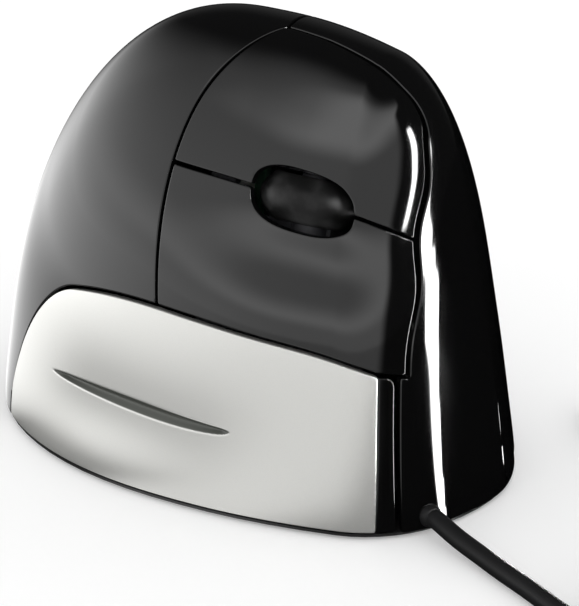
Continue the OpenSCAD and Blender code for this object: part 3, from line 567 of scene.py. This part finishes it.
palm_right = rear_run(lower_rear_s, lower_edge, FOOT_V, lower_edge(palm_s(LOWER_V)), 160)
palm_left = rear_run(thumb_rear_s, thumb_edge, -FOOT_V, THUMB_V, 160)
palm_foot = [[(s, -FOOT_V) for s in steps(thumb_rear_s, 0.001, 90)]
             + [(s, FOOT_V) for s in steps(0.001, lower_rear_s, 90)]]
palm_front = [[(palm_s(v) - lap, v) for v in steps(palm_left[1][-1][1], CORNER_V, 60)],
              [(palm_s(v) - lap, v) for v in steps(CORNER_V, palm_right[1][-1][1], 120)]]
palm = shell("palm_shell", {"low": palm_foot, "high": palm_front, "left": palm_left, "right": palm_right},
             (150, 84), (round_rear, from_rear))
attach(palm, "housing")
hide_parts("palm_cover")

# Piano gloss: smooth black ABS with a faint orange peel, a haze of handling and fine dust.
gloss = Finish("piano_gloss")
haze = gloss.between(gloss.noise(38, 4), 0.45, 0.75)
dust = gloss.between(gloss.noise(5200, 1), 0.74, 0.80)
gloss.surface(Base_Color=gloss.tint(dust, (0.0035, 0.0035, 0.0036, 1), (0.010, 0.010, 0.010, 1)),
              Roughness=0.055 + 0.035*haze + 0.10*dust,
              Normal=gloss.bump(gloss.noise(260, 1), 0.012, 0.0002))
gloss.put_on(palm)

# Finger buttons: two gloss black keys on tongues, split by a seam that opens round the wheel.
# The upper one has a rounded front corner, and its top edge runs along the ridge.
SPLIT_REAR = 0.468
SPLIT_FRONT = 0.489
CORNER_FROM = 0.20
TOP_V = 0.122
TOP_REAR_Y = 8.9
TOP_FRONT_Y = 39.9
RIDGE_WIDER = 1.6
WHEEL_Y = 23.8
WHEEL_V = 0.4765
HOLE_L = 18.4
HOLE_W = 10.5
HOLE_N = 2.6


def button_s(v):
    return at_turn(47.4 + 9.5*bell(v - 0.345, 0.13) + 7.5*bell(v - 0.58, 0.085), v)


def button_front(v):
    if v >= CORNER_FROM:
        return button_s(v)
    if v >= TOP_V:
        rounded = 1 - math.sqrt(1 - ((CORNER_FROM - v)/(CORNER_FROM - TOP_V))**2)
        return mix(button_s(v), at_y(TOP_FRONT_Y, v), rounded)
    return at_y(mix(TOP_REAR_Y, TOP_FRONT_Y, clamp((v - CORNER_V)/(TOP_V - CORNER_V))**0.45), v)


def ridge_seam(v):
    """Half the seam as a step of v, which is shorter on the skin along the ridge."""
    return HALF_SEAM*mix(RIDGE_WIDER, 1, ease(TOP_V, CORNER_FROM, v))


def button_end(v):
    end = button_front(v - ridge_seam(v))
    return end - s_gap(end, FRONT_GAP/2 + EDGE_R)


def split_v(mark):
    return mix(SPLIT_REAR, SPLIT_FRONT, mark**0.6)


split_from = palm_s(SPLIT_REAR) + lap
split_to = button_end(SPLIT_FRONT)
squeeze = (skin(at_y(WHEEL_Y + 1), WHEEL_V).y - skin(at_y(WHEEL_Y - 1), WHEEL_V).y)*500


def split_at(s):
    return split_v((s - split_from)/(split_to - split_from))


def split_run(side):
    """The seam between the two buttons, with its half of the wheel opening."""
    half = (HOLE_L/2 + EDGE_R)/squeeze
    wide = (HOLE_W/2 + EDGE_R)/GIRTH
    start = math.degrees(math.asin((HALF_SEAM/wide)**(HOLE_N/2)))
    hole = []
    for angle in steps(start, 180 - start, 120):
        c = math.cos(math.radians(angle))
        s = at_y(WHEEL_Y - half*math.copysign(abs(c)**(2/HOLE_N), c))
        bump = wide*math.sin(math.radians(angle))**(2/HOLE_N)
        hole.append((s, split_at(s) + side*bump))
    before = [(s, split_at(s) + side*HALF_SEAM) for s in steps(split_from, hole[0][0], 30)]
    after = [(s, split_at(s) + side*HALF_SEAM) for s in steps(hole[-1][0], split_to, 30)]
    return [before, hole, after]


upper_split = split_run(-1)
middle_split = split_run(1)
upper_from = CORNER_V + 2*HALF_SEAM
upper_round = [mix(TOP_V, CORNER_FROM, 1 - math.cos(math.pi/2*k/60)) for k in range(61)]
upper_over = [mix(upper_from, TOP_V, (k/60)**2.2) for k in range(61)] + upper_round[1:31]
upper_down = upper_round[30:] + steps(CORNER_FROM, upper_split[-1][-1][1], 30)[1:]
upper_top = [[(palm_s(upper_from) + lap, upper_from)] + [(button_end(v), v) for v in upper_over]]
upper_front = [[(button_end(v), v) for v in upper_down]]
upper_rear = [[(palm_s(v) + lap, v) for v in steps(upper_from, upper_split[0][0][1], 60)]]
upper = shell("upper_key", {"low": upper_rear, "high": upper_front, "left": upper_top, "right": upper_split},
              (70, 110))
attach(upper, "upper_button")
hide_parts("upper_button")
gloss.put_on(upper)

middle_low = []
for k in range(101):
    s = mix(palm_s(LOWER_V) + lap, button_end(LOWER_V), k/100)
    middle_low.append((s, lower_edge(s) - HALF_SEAM))
middle_rear = [[(palm_s(v) + lap, v) for v in steps(middle_split[0][0][1], middle_low[0][1], 40)]]
middle_front = [[(button_end(v), v) for v in steps(middle_split[-1][-1][1], middle_low[-1][1], 40)]]
middle = shell("middle_key", {"low": middle_rear, "high": middle_front, "left": middle_split,
                              "right": [middle_low]}, (60, 110))
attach(middle, "middle_button")
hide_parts("middle_button")
gloss.put_on(middle)

# Lower button: the wide silver key for the little finger, lacquered over ABS, with a crescent
# recess pressed into its face, which is painted dark grey as painted shade. It hinges at its rear end.
lower_rear_edge = at_y(LOWER_REAR_Y)
FOOT_GAP_V = 0.4/GIRTH


def lower_s(v):
    return at_turn(29.2 - 6*clamp((v - LOWER_FRONT_V)/(1 - LOWER_FRONT_V))**1.5, v)


def end_s(v):
    return at_turn(41.4 - 4.5*clamp((v - LOWER_FRONT_V)/(1 - LOWER_FRONT_V)), v)


lower_front_s = lower_s(LOWER_FRONT_V + HALF_SEAM) - s_gap(1, EDGE_R)
lower_rear_in = lower_rear_edge + s_gap(0, EDGE_R)
LOWER_FOOT_V = FOOT_V - FOOT_GAP_V
lower_top = []
for k in range(241):
    s = mix(lower_rear_in, lower_front_s, (k/240)**2)
    lower_top.append((s, lower_edge(s) + HALF_SEAM))
lower_bend = 70
lower_rear_run = [lower_top[lower_bend::-1],
                  [(lower_rear_in, v) for v in steps(lower_top[0][1], LOWER_FOOT_V, 10)]]
lower_nose = [(lower_s(v) - s_gap(1, EDGE_R), v) for v in steps(lower_top[-1][1], LOWER_FOOT_V, 40)]
lower_foot = [(s, LOWER_FOOT_V) for s in steps(lower_rear_in, lower_nose[-1][0], 100)]
RECESS_FROM = -28.5
RECESS_L = 42
RECESS_H = 1.8
RECESS_D = 0.0008


def recess(s, v):
    """How deep the crescent is at a spot: steep under its straight upper edge, easy at the lower one."""
    along = (barrel_y(s) - RECESS_FROM)/RECESS_L
    if not 0 < along < 1 or s > 1:
        return 0
    tall = RECESS_H/GIRTH*2.6*along**0.6*(1 - along)**0.5
    down = (v - mix(0.8494, 0.8636, along))/tall
    deep = RECESS_D*ease(0, 0.35, down)*(1 - ease(0.45, 1, down))
    return deep*ease(0, 0.12, along)*(1 - ease(0.93, 1, along))


# How deep the recess is, as a 0 to 1 mark that sets where its painted shade goes
def shaded(s, v):
    return recess(s, v)/RECESS_D


def pressed(s, v):
    deep = recess(s, v)
    return skin(s, v) - deep*lies(skin, s, v) if deep else skin(s, v)


lower = shell("lower_key", {"low": lower_rear_run, "high": [lower_nose], "left": [lower_top[lower_bend:]],
                            "right": [lower_foot]}, (150, 190), surface=pressed, mark=shaded)
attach(lower, "lower_button")
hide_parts("lower_button")
silver = Finish("silver_lacquer")
flake = silver.add("TexVoronoi", {}, Vector=silver.place(), Scale=6500, out=0)
cloud = silver.noise(55, 3)
# Painted shade: the crescent recess is tinted dark grey, with less metal and lacquer, following its depth
# mark
recess_shade_mask = silver.between(silver.add("Attribute", {"attribute_name": "painted_recess_shade"}, out=2), 0.01, 0.14)
lacquer = silver.tint(0.35*cloud + 0.4*flake, (0.68, 0.68, 0.655, 1), (0.61, 0.61, 0.585, 1))
silver.surface(Base_Color=silver.tint(recess_shade_mask, lacquer, (0.075, 0.08, 0.07, 1)), Metallic=0.6 - 0.5*recess_shade_mask,
               Roughness=0.30 + 0.08*flake + 0.03*cloud, Coat_Weight=0.25 - 0.2*recess_shade_mask, Coat_Roughness=0.08,
               Normal=silver.bump(flake, 0.03, 0.00005))
silver.put_on(lower)

# Lower cap: the gloss black end of the silver key, clipped on its nose, with a rounded upper corner.
# It moves with the key, and the nose starts past a gap beside it.
CAP_R = 1.1
cap_top = lower_edge(lower_s(LOWER_FRONT_V)) + HALF_SEAM


def cap_rear(v):
    return lower_s(v) + s_gap(1, 0.05 + EDGE_R)


def cap_nose(v):
    return end_s(v) - s_gap(1, FRONT_GAP/2 + EDGE_R)


cap_turn = []
for angle in steps(0, 90, 12):
    v = cap_top + CAP_R/GIRTH*(1 - math.cos(math.radians(angle)))
    cap_turn.append((cap_nose(v) - s_gap(1, CAP_R)*(1 - math.sin(math.radians(angle))), v))
cap_front = [cap_turn, [(cap_nose(v), v) for v in steps(cap_turn[-1][1], LOWER_FOOT_V, 40)]]
cap_back = [[(cap_rear(v), v) for v in steps(cap_top, LOWER_FOOT_V, 40)]]
cap_over = [[(s, cap_top) for s in steps(cap_rear(cap_top), cap_turn[0][0], 10)]]
cap_foot = [[(s, LOWER_FOOT_V) for s in steps(cap_rear(LOWER_FOOT_V), cap_nose(LOWER_FOOT_V), 10)]]
cap = shell("lower_cap", {"low": cap_back, "high": cap_front, "left": cap_over, "right": cap_foot}, (50, 10))
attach(cap, "lower_button")
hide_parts("lower_end")
gloss.put_on(cap)

# Thumb shell: the satin black side panel with a hollow for the thumb and a ledge under it.
# Two slim keys sit in a notch along its upper edge.
THUMB_KEY_Y = 0
THUMB_KEY_L = 15.6
THUMB_KEY_V = 0.1
THUMB_KEY_SWELL = 0.8
thumb_low_s = at_y(THUMB_REAR_Y) + s_gap(0, EDGE_R)


def thumb_s(v):
    return at_turn(27, v)


thumb_front_in = s_gap(1, SEAM/2 + EDGE_R)
thumb_top = []
for k in range(241):
    s = mix(thumb_low_s, at_y(THUMB_ROUND_Y), (k/240)**2)
    thumb_top.append((s, thumb_edge(s) - HALF_SEAM))
thumb_bend = 90
notch_v = THUMB_V - HALF_SEAM - THUMB_KEY_V - SEAM/GIRTH
notch_from = at_y(THUMB_KEY_Y - SEAM - EDGE_R)
notch_to = at_y(THUMB_KEY_Y + 2*THUMB_KEY_L + 2*SEAM + EDGE_R)
thumb_line = THUMB_V - HALF_SEAM
thumb_behind = [(s, thumb_line) for s in steps(at_y(THUMB_ROUND_Y), notch_from, 20)[1:]]
thumb_upper = [thumb_top[thumb_bend:] + thumb_behind,
               [(notch_from, v) for v in steps(thumb_line, notch_v, 10)],
               [(s, notch_v) for s in steps(notch_from, notch_to, 40)],
               [(notch_to, v) for v in steps(notch_v, thumb_line, 10)],
               [(s, thumb_line) for s in steps(notch_to, thumb_s(thumb_line) - thumb_front_in, 10)]]
thumb_rear = [[(thumb_low_s, v) for v in steps(-FOOT_V, thumb_top[0][1], 40)] + thumb_top[1:thumb_bend + 1]]
thumb_nose = [[(thumb_s(v) - thumb_front_in, v) for v in steps(-FOOT_V, thumb_line, 40)]]
thumb_foot = [[(s, -FOOT_V) for s in steps(thumb_low_s, thumb_nose[0][0][0], 80)]]
thumb = shell("thumb_panel", {"low": thumb_rear, "high": thumb_nose, "left": thumb_foot,
                              "right": thumb_upper}, (70, 120))
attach(thumb, "housing")
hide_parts("thumb_shell")
satin = Finish("satin_black")
satin_grain = satin.noise(3200, 3)
satin.surface(Base_Color=satin.tint(satin.noise(45, 3), (0.013, 0.013, 0.0135, 1), (0.022, 0.022, 0.023, 1)),
              Roughness=0.40 + 0.14*satin_grain, Normal=satin.bump(satin_grain, 0.18, 0.0001))
satin.put_on(thumb)

# Thumb keys: two slim gloss black keys in a row in the notch of the thumb panel.
# Each one swells out of the panel along its middle, so that the thumb finds it.


def thumb_key(name, node, from_y):
    low_s, high_s = at_y(from_y + EDGE_R), at_y(from_y + THUMB_KEY_L - EDGE_R)
    low_edge = THUMB_V - HALF_SEAM - THUMB_KEY_V + EDGE_R/GIRTH
    high_edge = THUMB_V - HALF_SEAM

    def swollen(s, v):
        along = clamp((barrel_y(s) - from_y)/THUMB_KEY_L)
        return skin(s, v) + THUMB_KEY_SWELL*MM*math.sin(math.pi*along)*lies(skin, s, v)

    key = shell(name, {"low": [[(low_s, v) for v in steps(low_edge, high_edge, 20)]],
                       "high": [[(high_s, v) for v in steps(low_edge, high_edge, 20)]],
                       "left": [[(s, low_edge) for s in steps(low_s, high_s, 40)]],
                       "right": [[(s, high_edge) for s in steps(low_s, high_s, 40)]]},
                (24, 40), surface=swollen)
    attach(key, node)
    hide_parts(node)
    gloss.put_on(key)


thumb_key("rear_thumb_key", "rear_thumb_button", THUMB_KEY_Y)
thumb_key("front_thumb_key", "front_thumb_button", THUMB_KEY_Y + THUMB_KEY_L + SEAM)

# Front cover: the gloss black nose. Its edge runs round the thumb panel, over the ridge, round the
# finger keys and down beside the silver key, and its face goes down to the foot.
front_rear = palm_s(CORNER_V) + lap
front_thumb_v = THUMB_V + HALF_SEAM
spine_v = CORNER_V - HALF_SEAM
low_v = LOWER_FRONT_V + HALF_SEAM


def round_nose(spot):
    return ((3 - spot[0])*math.sin(math.pi/2*spot[1]), (3 - spot[0])*math.cos(math.pi/2*spot[1]))


def from_nose(at):
    return (3 - math.hypot(*at), math.atan2(at[0], at[1])/(math.pi/2))


def cover_start(v):
    start = button_front(v + ridge_seam(v))
    return start + s_gap(start, FRONT_GAP/2 + EDGE_R)


def beside_thumb(v):
    return thumb_s(v) + s_gap(1, SEAM/2 + EDGE_R)


def beside_key(v):
    return button_s(v) + s_gap(1, FRONT_GAP/2 + EDGE_R)


def beside_cap(v):
    return end_s(v) + s_gap(1, FRONT_GAP/2 + EDGE_R)


front_left = [[(s, front_thumb_v) for s in steps(front_rear, beside_thumb(front_thumb_v), 40)],
              [(beside_thumb(v), v) for v in steps(front_thumb_v, -FOOT_V, 60)]]
cover_round = [mix(spine_v, CORNER_FROM, (k/80)**2) for k in range(81)]
front_right = [[(front_rear, spine_v)] + [(cover_start(v), v) for v in cover_round]
               + [(beside_key(v), v) for v in steps(CORNER_FROM, low_v, 40)[1:]],
               [(s, low_v) for s in steps(beside_key(low_v), beside_cap(low_v), 6)],
               [(beside_cap(v), v) for v in steps(low_v, FOOT_V, 40)]]
front_low = [[(front_rear, v) for v in steps(front_thumb_v, spine_v, 40)]]
front_foot = [[(s, -FOOT_V) for s in steps(beside_thumb(-FOOT_V), 2.999, 90)]
              + [(s, FOOT_V) for s in steps(2.999, beside_cap(FOOT_V), 90)]]
front = shell("front_nose", {"low": front_low, "high": front_foot, "left": front_left, "right": front_right},
              (110, 130), (round_nose, from_nose))
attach(front, "housing")
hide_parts("front_cover")
gloss.put_on(front)

# Wheel: a crowned rubber tyre pressed on its hub, dull with smudges of handling.
# Its axle lies under the split of the two keys, square to the slope.
WHEEL_R = 9.6
WHEEL_W = 8.2
WHEEL_OUT = 1.9
WHEEL_BACK = 1
CROWN = 2.4
TYRE_T = 3
TYRE_STEPS = 144
BORE_EDGE = 0.4
wheel_s = at_y(WHEEL_Y)
out_of_keys = lies(skin, wheel_s, WHEEL_V)
out_of_keys = Vector((out_of_keys.x, 0, out_of_keys.z)).normalized()
along_axle = Vector((-out_of_keys.z, 0, out_of_keys.x))
axle = skin(wheel_s, WHEEL_V) + MM*((WHEEL_OUT - WHEEL_R)*out_of_keys - Vector((0, WHEEL_BACK, 0)))
tread = [(WHEEL_R - CROWN*t*t, t*WHEEL_W/2) for t in steps(-1, 1, 30)]
bore = WHEEL_R - TYRE_T
ring_of = [(bore, WHEEL_W/2 - BORE_EDGE), (bore, 0), (bore, BORE_EDGE - WHEEL_W/2)] + tread
ring_of = ring_of + ring_of[:1]


def on_tyre(i, j):
    angle = 2*math.pi*(i % TYRE_STEPS)/TYRE_STEPS
    from_axle = math.cos(angle)*out_of_keys + math.sin(angle)*Vector((0, 1, 0))
    far, beside = ring_of[j]
    way = from_axle if far > bore else -from_axle
    return axle + MM*(far*from_axle + beside*along_axle), way, 0


tyre = sheet_of("tyre", TYRE_STEPS, len(ring_of) - 1, on_tyre)
bpy.ops.object.mode_set(mode="EDIT")
bpy.ops.mesh.select_all(action="SELECT")
bpy.ops.mesh.remove_doubles(threshold=WELD)
bpy.ops.mesh.normals_make_consistent(inside=False)
bpy.ops.object.mode_set(mode="OBJECT")
bpy.ops.object.shade_smooth()
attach(tyre, "wheel")
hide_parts("wheel_tyre")
rubber = Finish("wheel_rubber")
smudge = rubber.between(rubber.noise(300, 5), 0.42, 0.72)
rubber.surface(Base_Color=rubber.tint(smudge, (0.005, 0.005, 0.005, 1), (0.020, 0.020, 0.020, 1)),
               Roughness=0.40 + 0.2*smudge, Specular_IOR_Level=0.2,
               Normal=rubber.bump(rubber.noise(2400, 4), 0.12, 0.0001))
rubber.put_on(tyre)

# Inner parts and the base: each carried-over piece gets its moulded plastic, solder mask,
# plated steel or clear lens.


def moulded(name, colour, rough, grain, *names):
    finish = Finish(name)
    fine = finish.noise(grain, 3)
    darker = tuple(0.8*c for c in colour[:3]) + (1,)
    finish.surface(Base_Color=finish.tint(finish.noise(90, 3), darker, colour), Roughness=rough + 0.12*fine,
                   Normal=finish.bump(fine, 0.12, 0.0001))
    finish.put_on(*[nodes[n] for n in names])


moulded("base_black", (0.018, 0.018, 0.018, 1), 0.42, 2600, "base_plate")
moulded("glide_grey", (0.05, 0.05, 0.055, 1), 0.28, 1500, "glide_feet")
moulded("inner_grey", (0.10, 0.10, 0.11, 1), 0.45, 2000,
        "wheel_hub", "wheel_carrier", "finger_frame", "thumb_frame")
moulded("encoder_green", (0.05, 0.16, 0.10, 1), 0.40, 1800, "wheel_encoder")
moulded("nylon_white", (0.72, 0.72, 0.68, 1), 0.38, 1800, "wheel_switch", "lead_socket", "plug_tongue")
moulded("switch_red", (0.42, 0.06, 0.05, 1), 0.36, 1800, "upper_switch", "middle_switch", "lower_switch")
moulded("chip_black", (0.02, 0.02, 0.022, 1), 0.50, 3000,
        "thumb_switches", "controller_chip", "optical_sensor")
moulded("lead_black", (0.014, 0.014, 0.014, 1), 0.42, 2600, "inner_lead", "cable_tie")
moulded("grip_black", (0.018, 0.018, 0.019, 1), 0.44, 2200, "plug_grip")
board = Finish("solder_mask")
track = board.add("TexBrick", {}, Vector=board.place(), Scale=160.0, out=1)
board.surface(Base_Color=board.tint(track, (0.012, 0.075, 0.032, 1), (0.03, 0.14, 0.06, 1)),
              Roughness=0.24 + 0.1*board.noise(400), Normal=board.bump(track, 0.1, 0.0001))
board.put_on(*[nodes[n] for n in ("button_board", "lower_board", "thumb_board", "main_board")])
steel = Finish("plated_steel")
brush = steel.noise(1800, 4)
steel.surface(Base_Color=steel.tint(brush, (0.55, 0.55, 0.56, 1), (0.70, 0.70, 0.71, 1)), Metallic=1.0,
              Roughness=0.20 + 0.16*brush, Normal=steel.bump(brush, 0.05, 0.00005))
steel.put_on(*[nodes[n] for n in ("base_screws", "board_screws", "plug_shell")])
lens = Finish("clear_lens")
lens.surface(Base_Color=(0.92, 0.95, 0.97, 1), Roughness=0.03 + 0.04*lens.noise(600),
             Transmission_Weight=0.9)
lens.put_on(nodes["sensor_lens"])

# Studio: a white floor and surround under even light. What the gloss mirrors is a wide soft box on
# the palm side, brightest low down, two narrow strip lights ahead of the nose and a box behind.
FLOOR_L = 8
STRIP = 40
DEGREES = 180/math.pi


def soft_level(finish, bearing, height):
    """Brightness of the soft box toward a bearing and a height over the horizon, in degrees."""
    fall = finish.add("Math", {"operation": "EXPONENT"}, height*(-1/24))
    level = finish.between(bearing, -95.0, -5.0, 1.0, 0.0)
    front = finish.between(height, 6.0, 14.0, 2.1, 0.95) - finish.between(height, 3.0, 7.0, 0.8, 0.0)
    front = front + 0.2*finish.between(height, 6.0, 20.0)*finish.between(bearing, -30.0, 20.0, 1.0, 0.0)
    level = level*3.4*fall + (1 - level)*front
    band = finish.between(height, 36.0, 47.0)*finish.between(height, 50.0, 57.0, 1.0, 0.0)
    level = level + 1.5*band*finish.between(bearing, -45.0, -20.0)
    bow = finish.between(height, 5.0, 22.0)*finish.between(height, 28.0, 52.0, 1.0, 0.0)
    far_edge = bearing - (53 + 10.5*bow + finish.between(height, 46.0, 54.0, 0.0, 12.0))
    near_edge = bearing - (0.65*height - 120)
    top_edge = height - finish.between(bearing, -80.0, 40.0, 63.0, 53.0)
    level = level*finish.between(far_edge, -4.0, 4.0, 1.0, 0.0)*finish.between(near_edge, -22.0, 22.0)
    return level*finish.between(top_edge, -8.0, 8.0, 1.0, 0.0)


def strip_level(finish, bearing, start, end):
    """One between two bearings, with edges a degree soft, and nothing past them."""
    return finish.between(bearing - start, -0.5, 0.5)*finish.between(end - bearing, -0.5, 0.5)


bpy.ops.object.select_all(action="DESELECT")
bpy.ops.mesh.primitive_plane_add(size=FLOOR_L)
desk = bpy.context.object
desk.name = "studio_floor"
floor = Finish("studio_floor")
path = floor.tree.nodes.new("ShaderNodeLightPath")
seen = Wire(floor, path.outputs["Is Camera Ray"])
mirrored = Wire(floor, path.outputs["Is Glossy Ray"])
spot = floor.add("SeparateXYZ", {}, floor.place()).socket.node.outputs
floor_x, floor_y = Wire(floor, spot[0]), Wire(floor, spot[1])
around = floor_x.sum("ARCTAN2", floor_y + 0.02, floor_x)*DEGREES
turned = skin(1.9, 0.85)
from_turn = floor_x.sum("ARCTAN2", floor_y - turned.y, floor_x - turned.x)*DEGREES
ahead = floor_y - turned.y
start = floor.between(ahead, 0.12, 0.30, 96.5, 91.5) - floor.between(ahead, 0.6, 3.0, 0.0, 5.0)
end = floor.between(ahead, 0.25, 0.6, 110.0, 102.8) - floor.between(ahead, 0.5, 2.2, 0.0, 5.6)
low_strip = strip_level(floor, from_turn, start, end)*(floor_y > turned.y)
# Painted light: for glossy rays alone the floor glows with a soft box level and a low strip light,
# dimmed by a painted shadow of the mouse round its foot on the palm side.
beside = floor.add("Math", {"operation": "SQRT"}, floor_x*floor_x + 0.46*(floor_y*floor_y))
shade = floor.between(beside, 0.085, 0.125, 1.0, 0.0)*floor.between(around, -55.0, -38.0)
shade = shade*floor.between(around, -2.0, 22.0, 1.0, 0.0)
soft = soft_level(floor, around, 0*around)*floor.between(around, -45.0, 5.0, 1.0, 0.65)
close = floor.between(around, -80.0, -45.0, 1.9, 1.0)*floor.between(around, 40.0, 60.0, 1.0, 0.0)
close = close*floor.between(around, -140.0, -118.0)
soft = close + (soft - close)*floor.between(beside, 0.09, 0.22)
pale = floor.add("BsdfDiffuse", {}, Color=(0.80, 0.80, 0.80, 1))
glow = floor.add("Emission", {}, Color=(1, 1, 1, 1), Strength=0.25)
shown = floor.add("AddShader", {}, pale, glow)
mirror_glow = floor.add("Emission", {}, Color=(1, 1, 1, 1), Strength=soft*(1 - shade) + STRIP*low_strip)
first = floor.add("MixShader", {}, seen, pale, shown)
whole = floor.add("MixShader", {}, mirrored, first, mirror_glow)
floor.plug(floor.tree.nodes["Material Output"].inputs["Surface"], whole)
floor.put_on(desk)

world = bpy.data.worlds.new("studio")
scene.world = world
world.use_nodes = True
studio = Finish("studio", world.node_tree)
sight = studio.add("TexCoord", {}, out=0)
parts = studio.add("SeparateXYZ", {}, sight).socket.node.outputs
x, y, z = [Wire(studio, part) for part in parts]
bearing = x.sum("ARCTAN2", y, x)*DEGREES
height = studio.add("Math", {"operation": "ARCSINE"}, z)*DEGREES
long_start = studio.between(height, 4.0, 9.0, 83.0, 89.0)
long_strip = strip_level(studio, bearing, long_start, studio.between(height, 0.0, 5.0, 97.2, 93.0))
long_strip = long_strip*studio.between(height, 28.0, 33.0, 1.0, 0.0)
above = studio.add("Math", {"operation": "MAXIMUM"}, height - 20, 0.0)
below = studio.add("Math", {"operation": "MAXIMUM"}, 18.5 - height, 0.0)
short_at = 77.6 - 0.022*(above*above) - 0.1*(below*below)
short_strip = strip_level(studio, bearing, short_at - 2.5, short_at + 2.5)
short_strip = short_strip*studio.between(height, 8.5, 10.5)*studio.between(height, 35.0, 38.0, 1.0, 0.0)
behind = studio.between(-0.94*x - 0.34*y, 0.75, 0.97)
mirror_of = 0.02 + soft_level(studio, bearing, height) + STRIP*long_strip + STRIP*short_strip + 0.05*behind
way_here = studio.tree.nodes.new("ShaderNodeLightPath")
glossy_ray = Wire(studio, way_here.outputs["Is Glossy Ray"])
strength = 1 + glossy_ray*(mirror_of - 1)
background = world.node_tree.nodes["Background"]
studio.plug(background.inputs["Strength"], strength)
background.inputs["Color"].default_value = (1, 1, 1, 1)
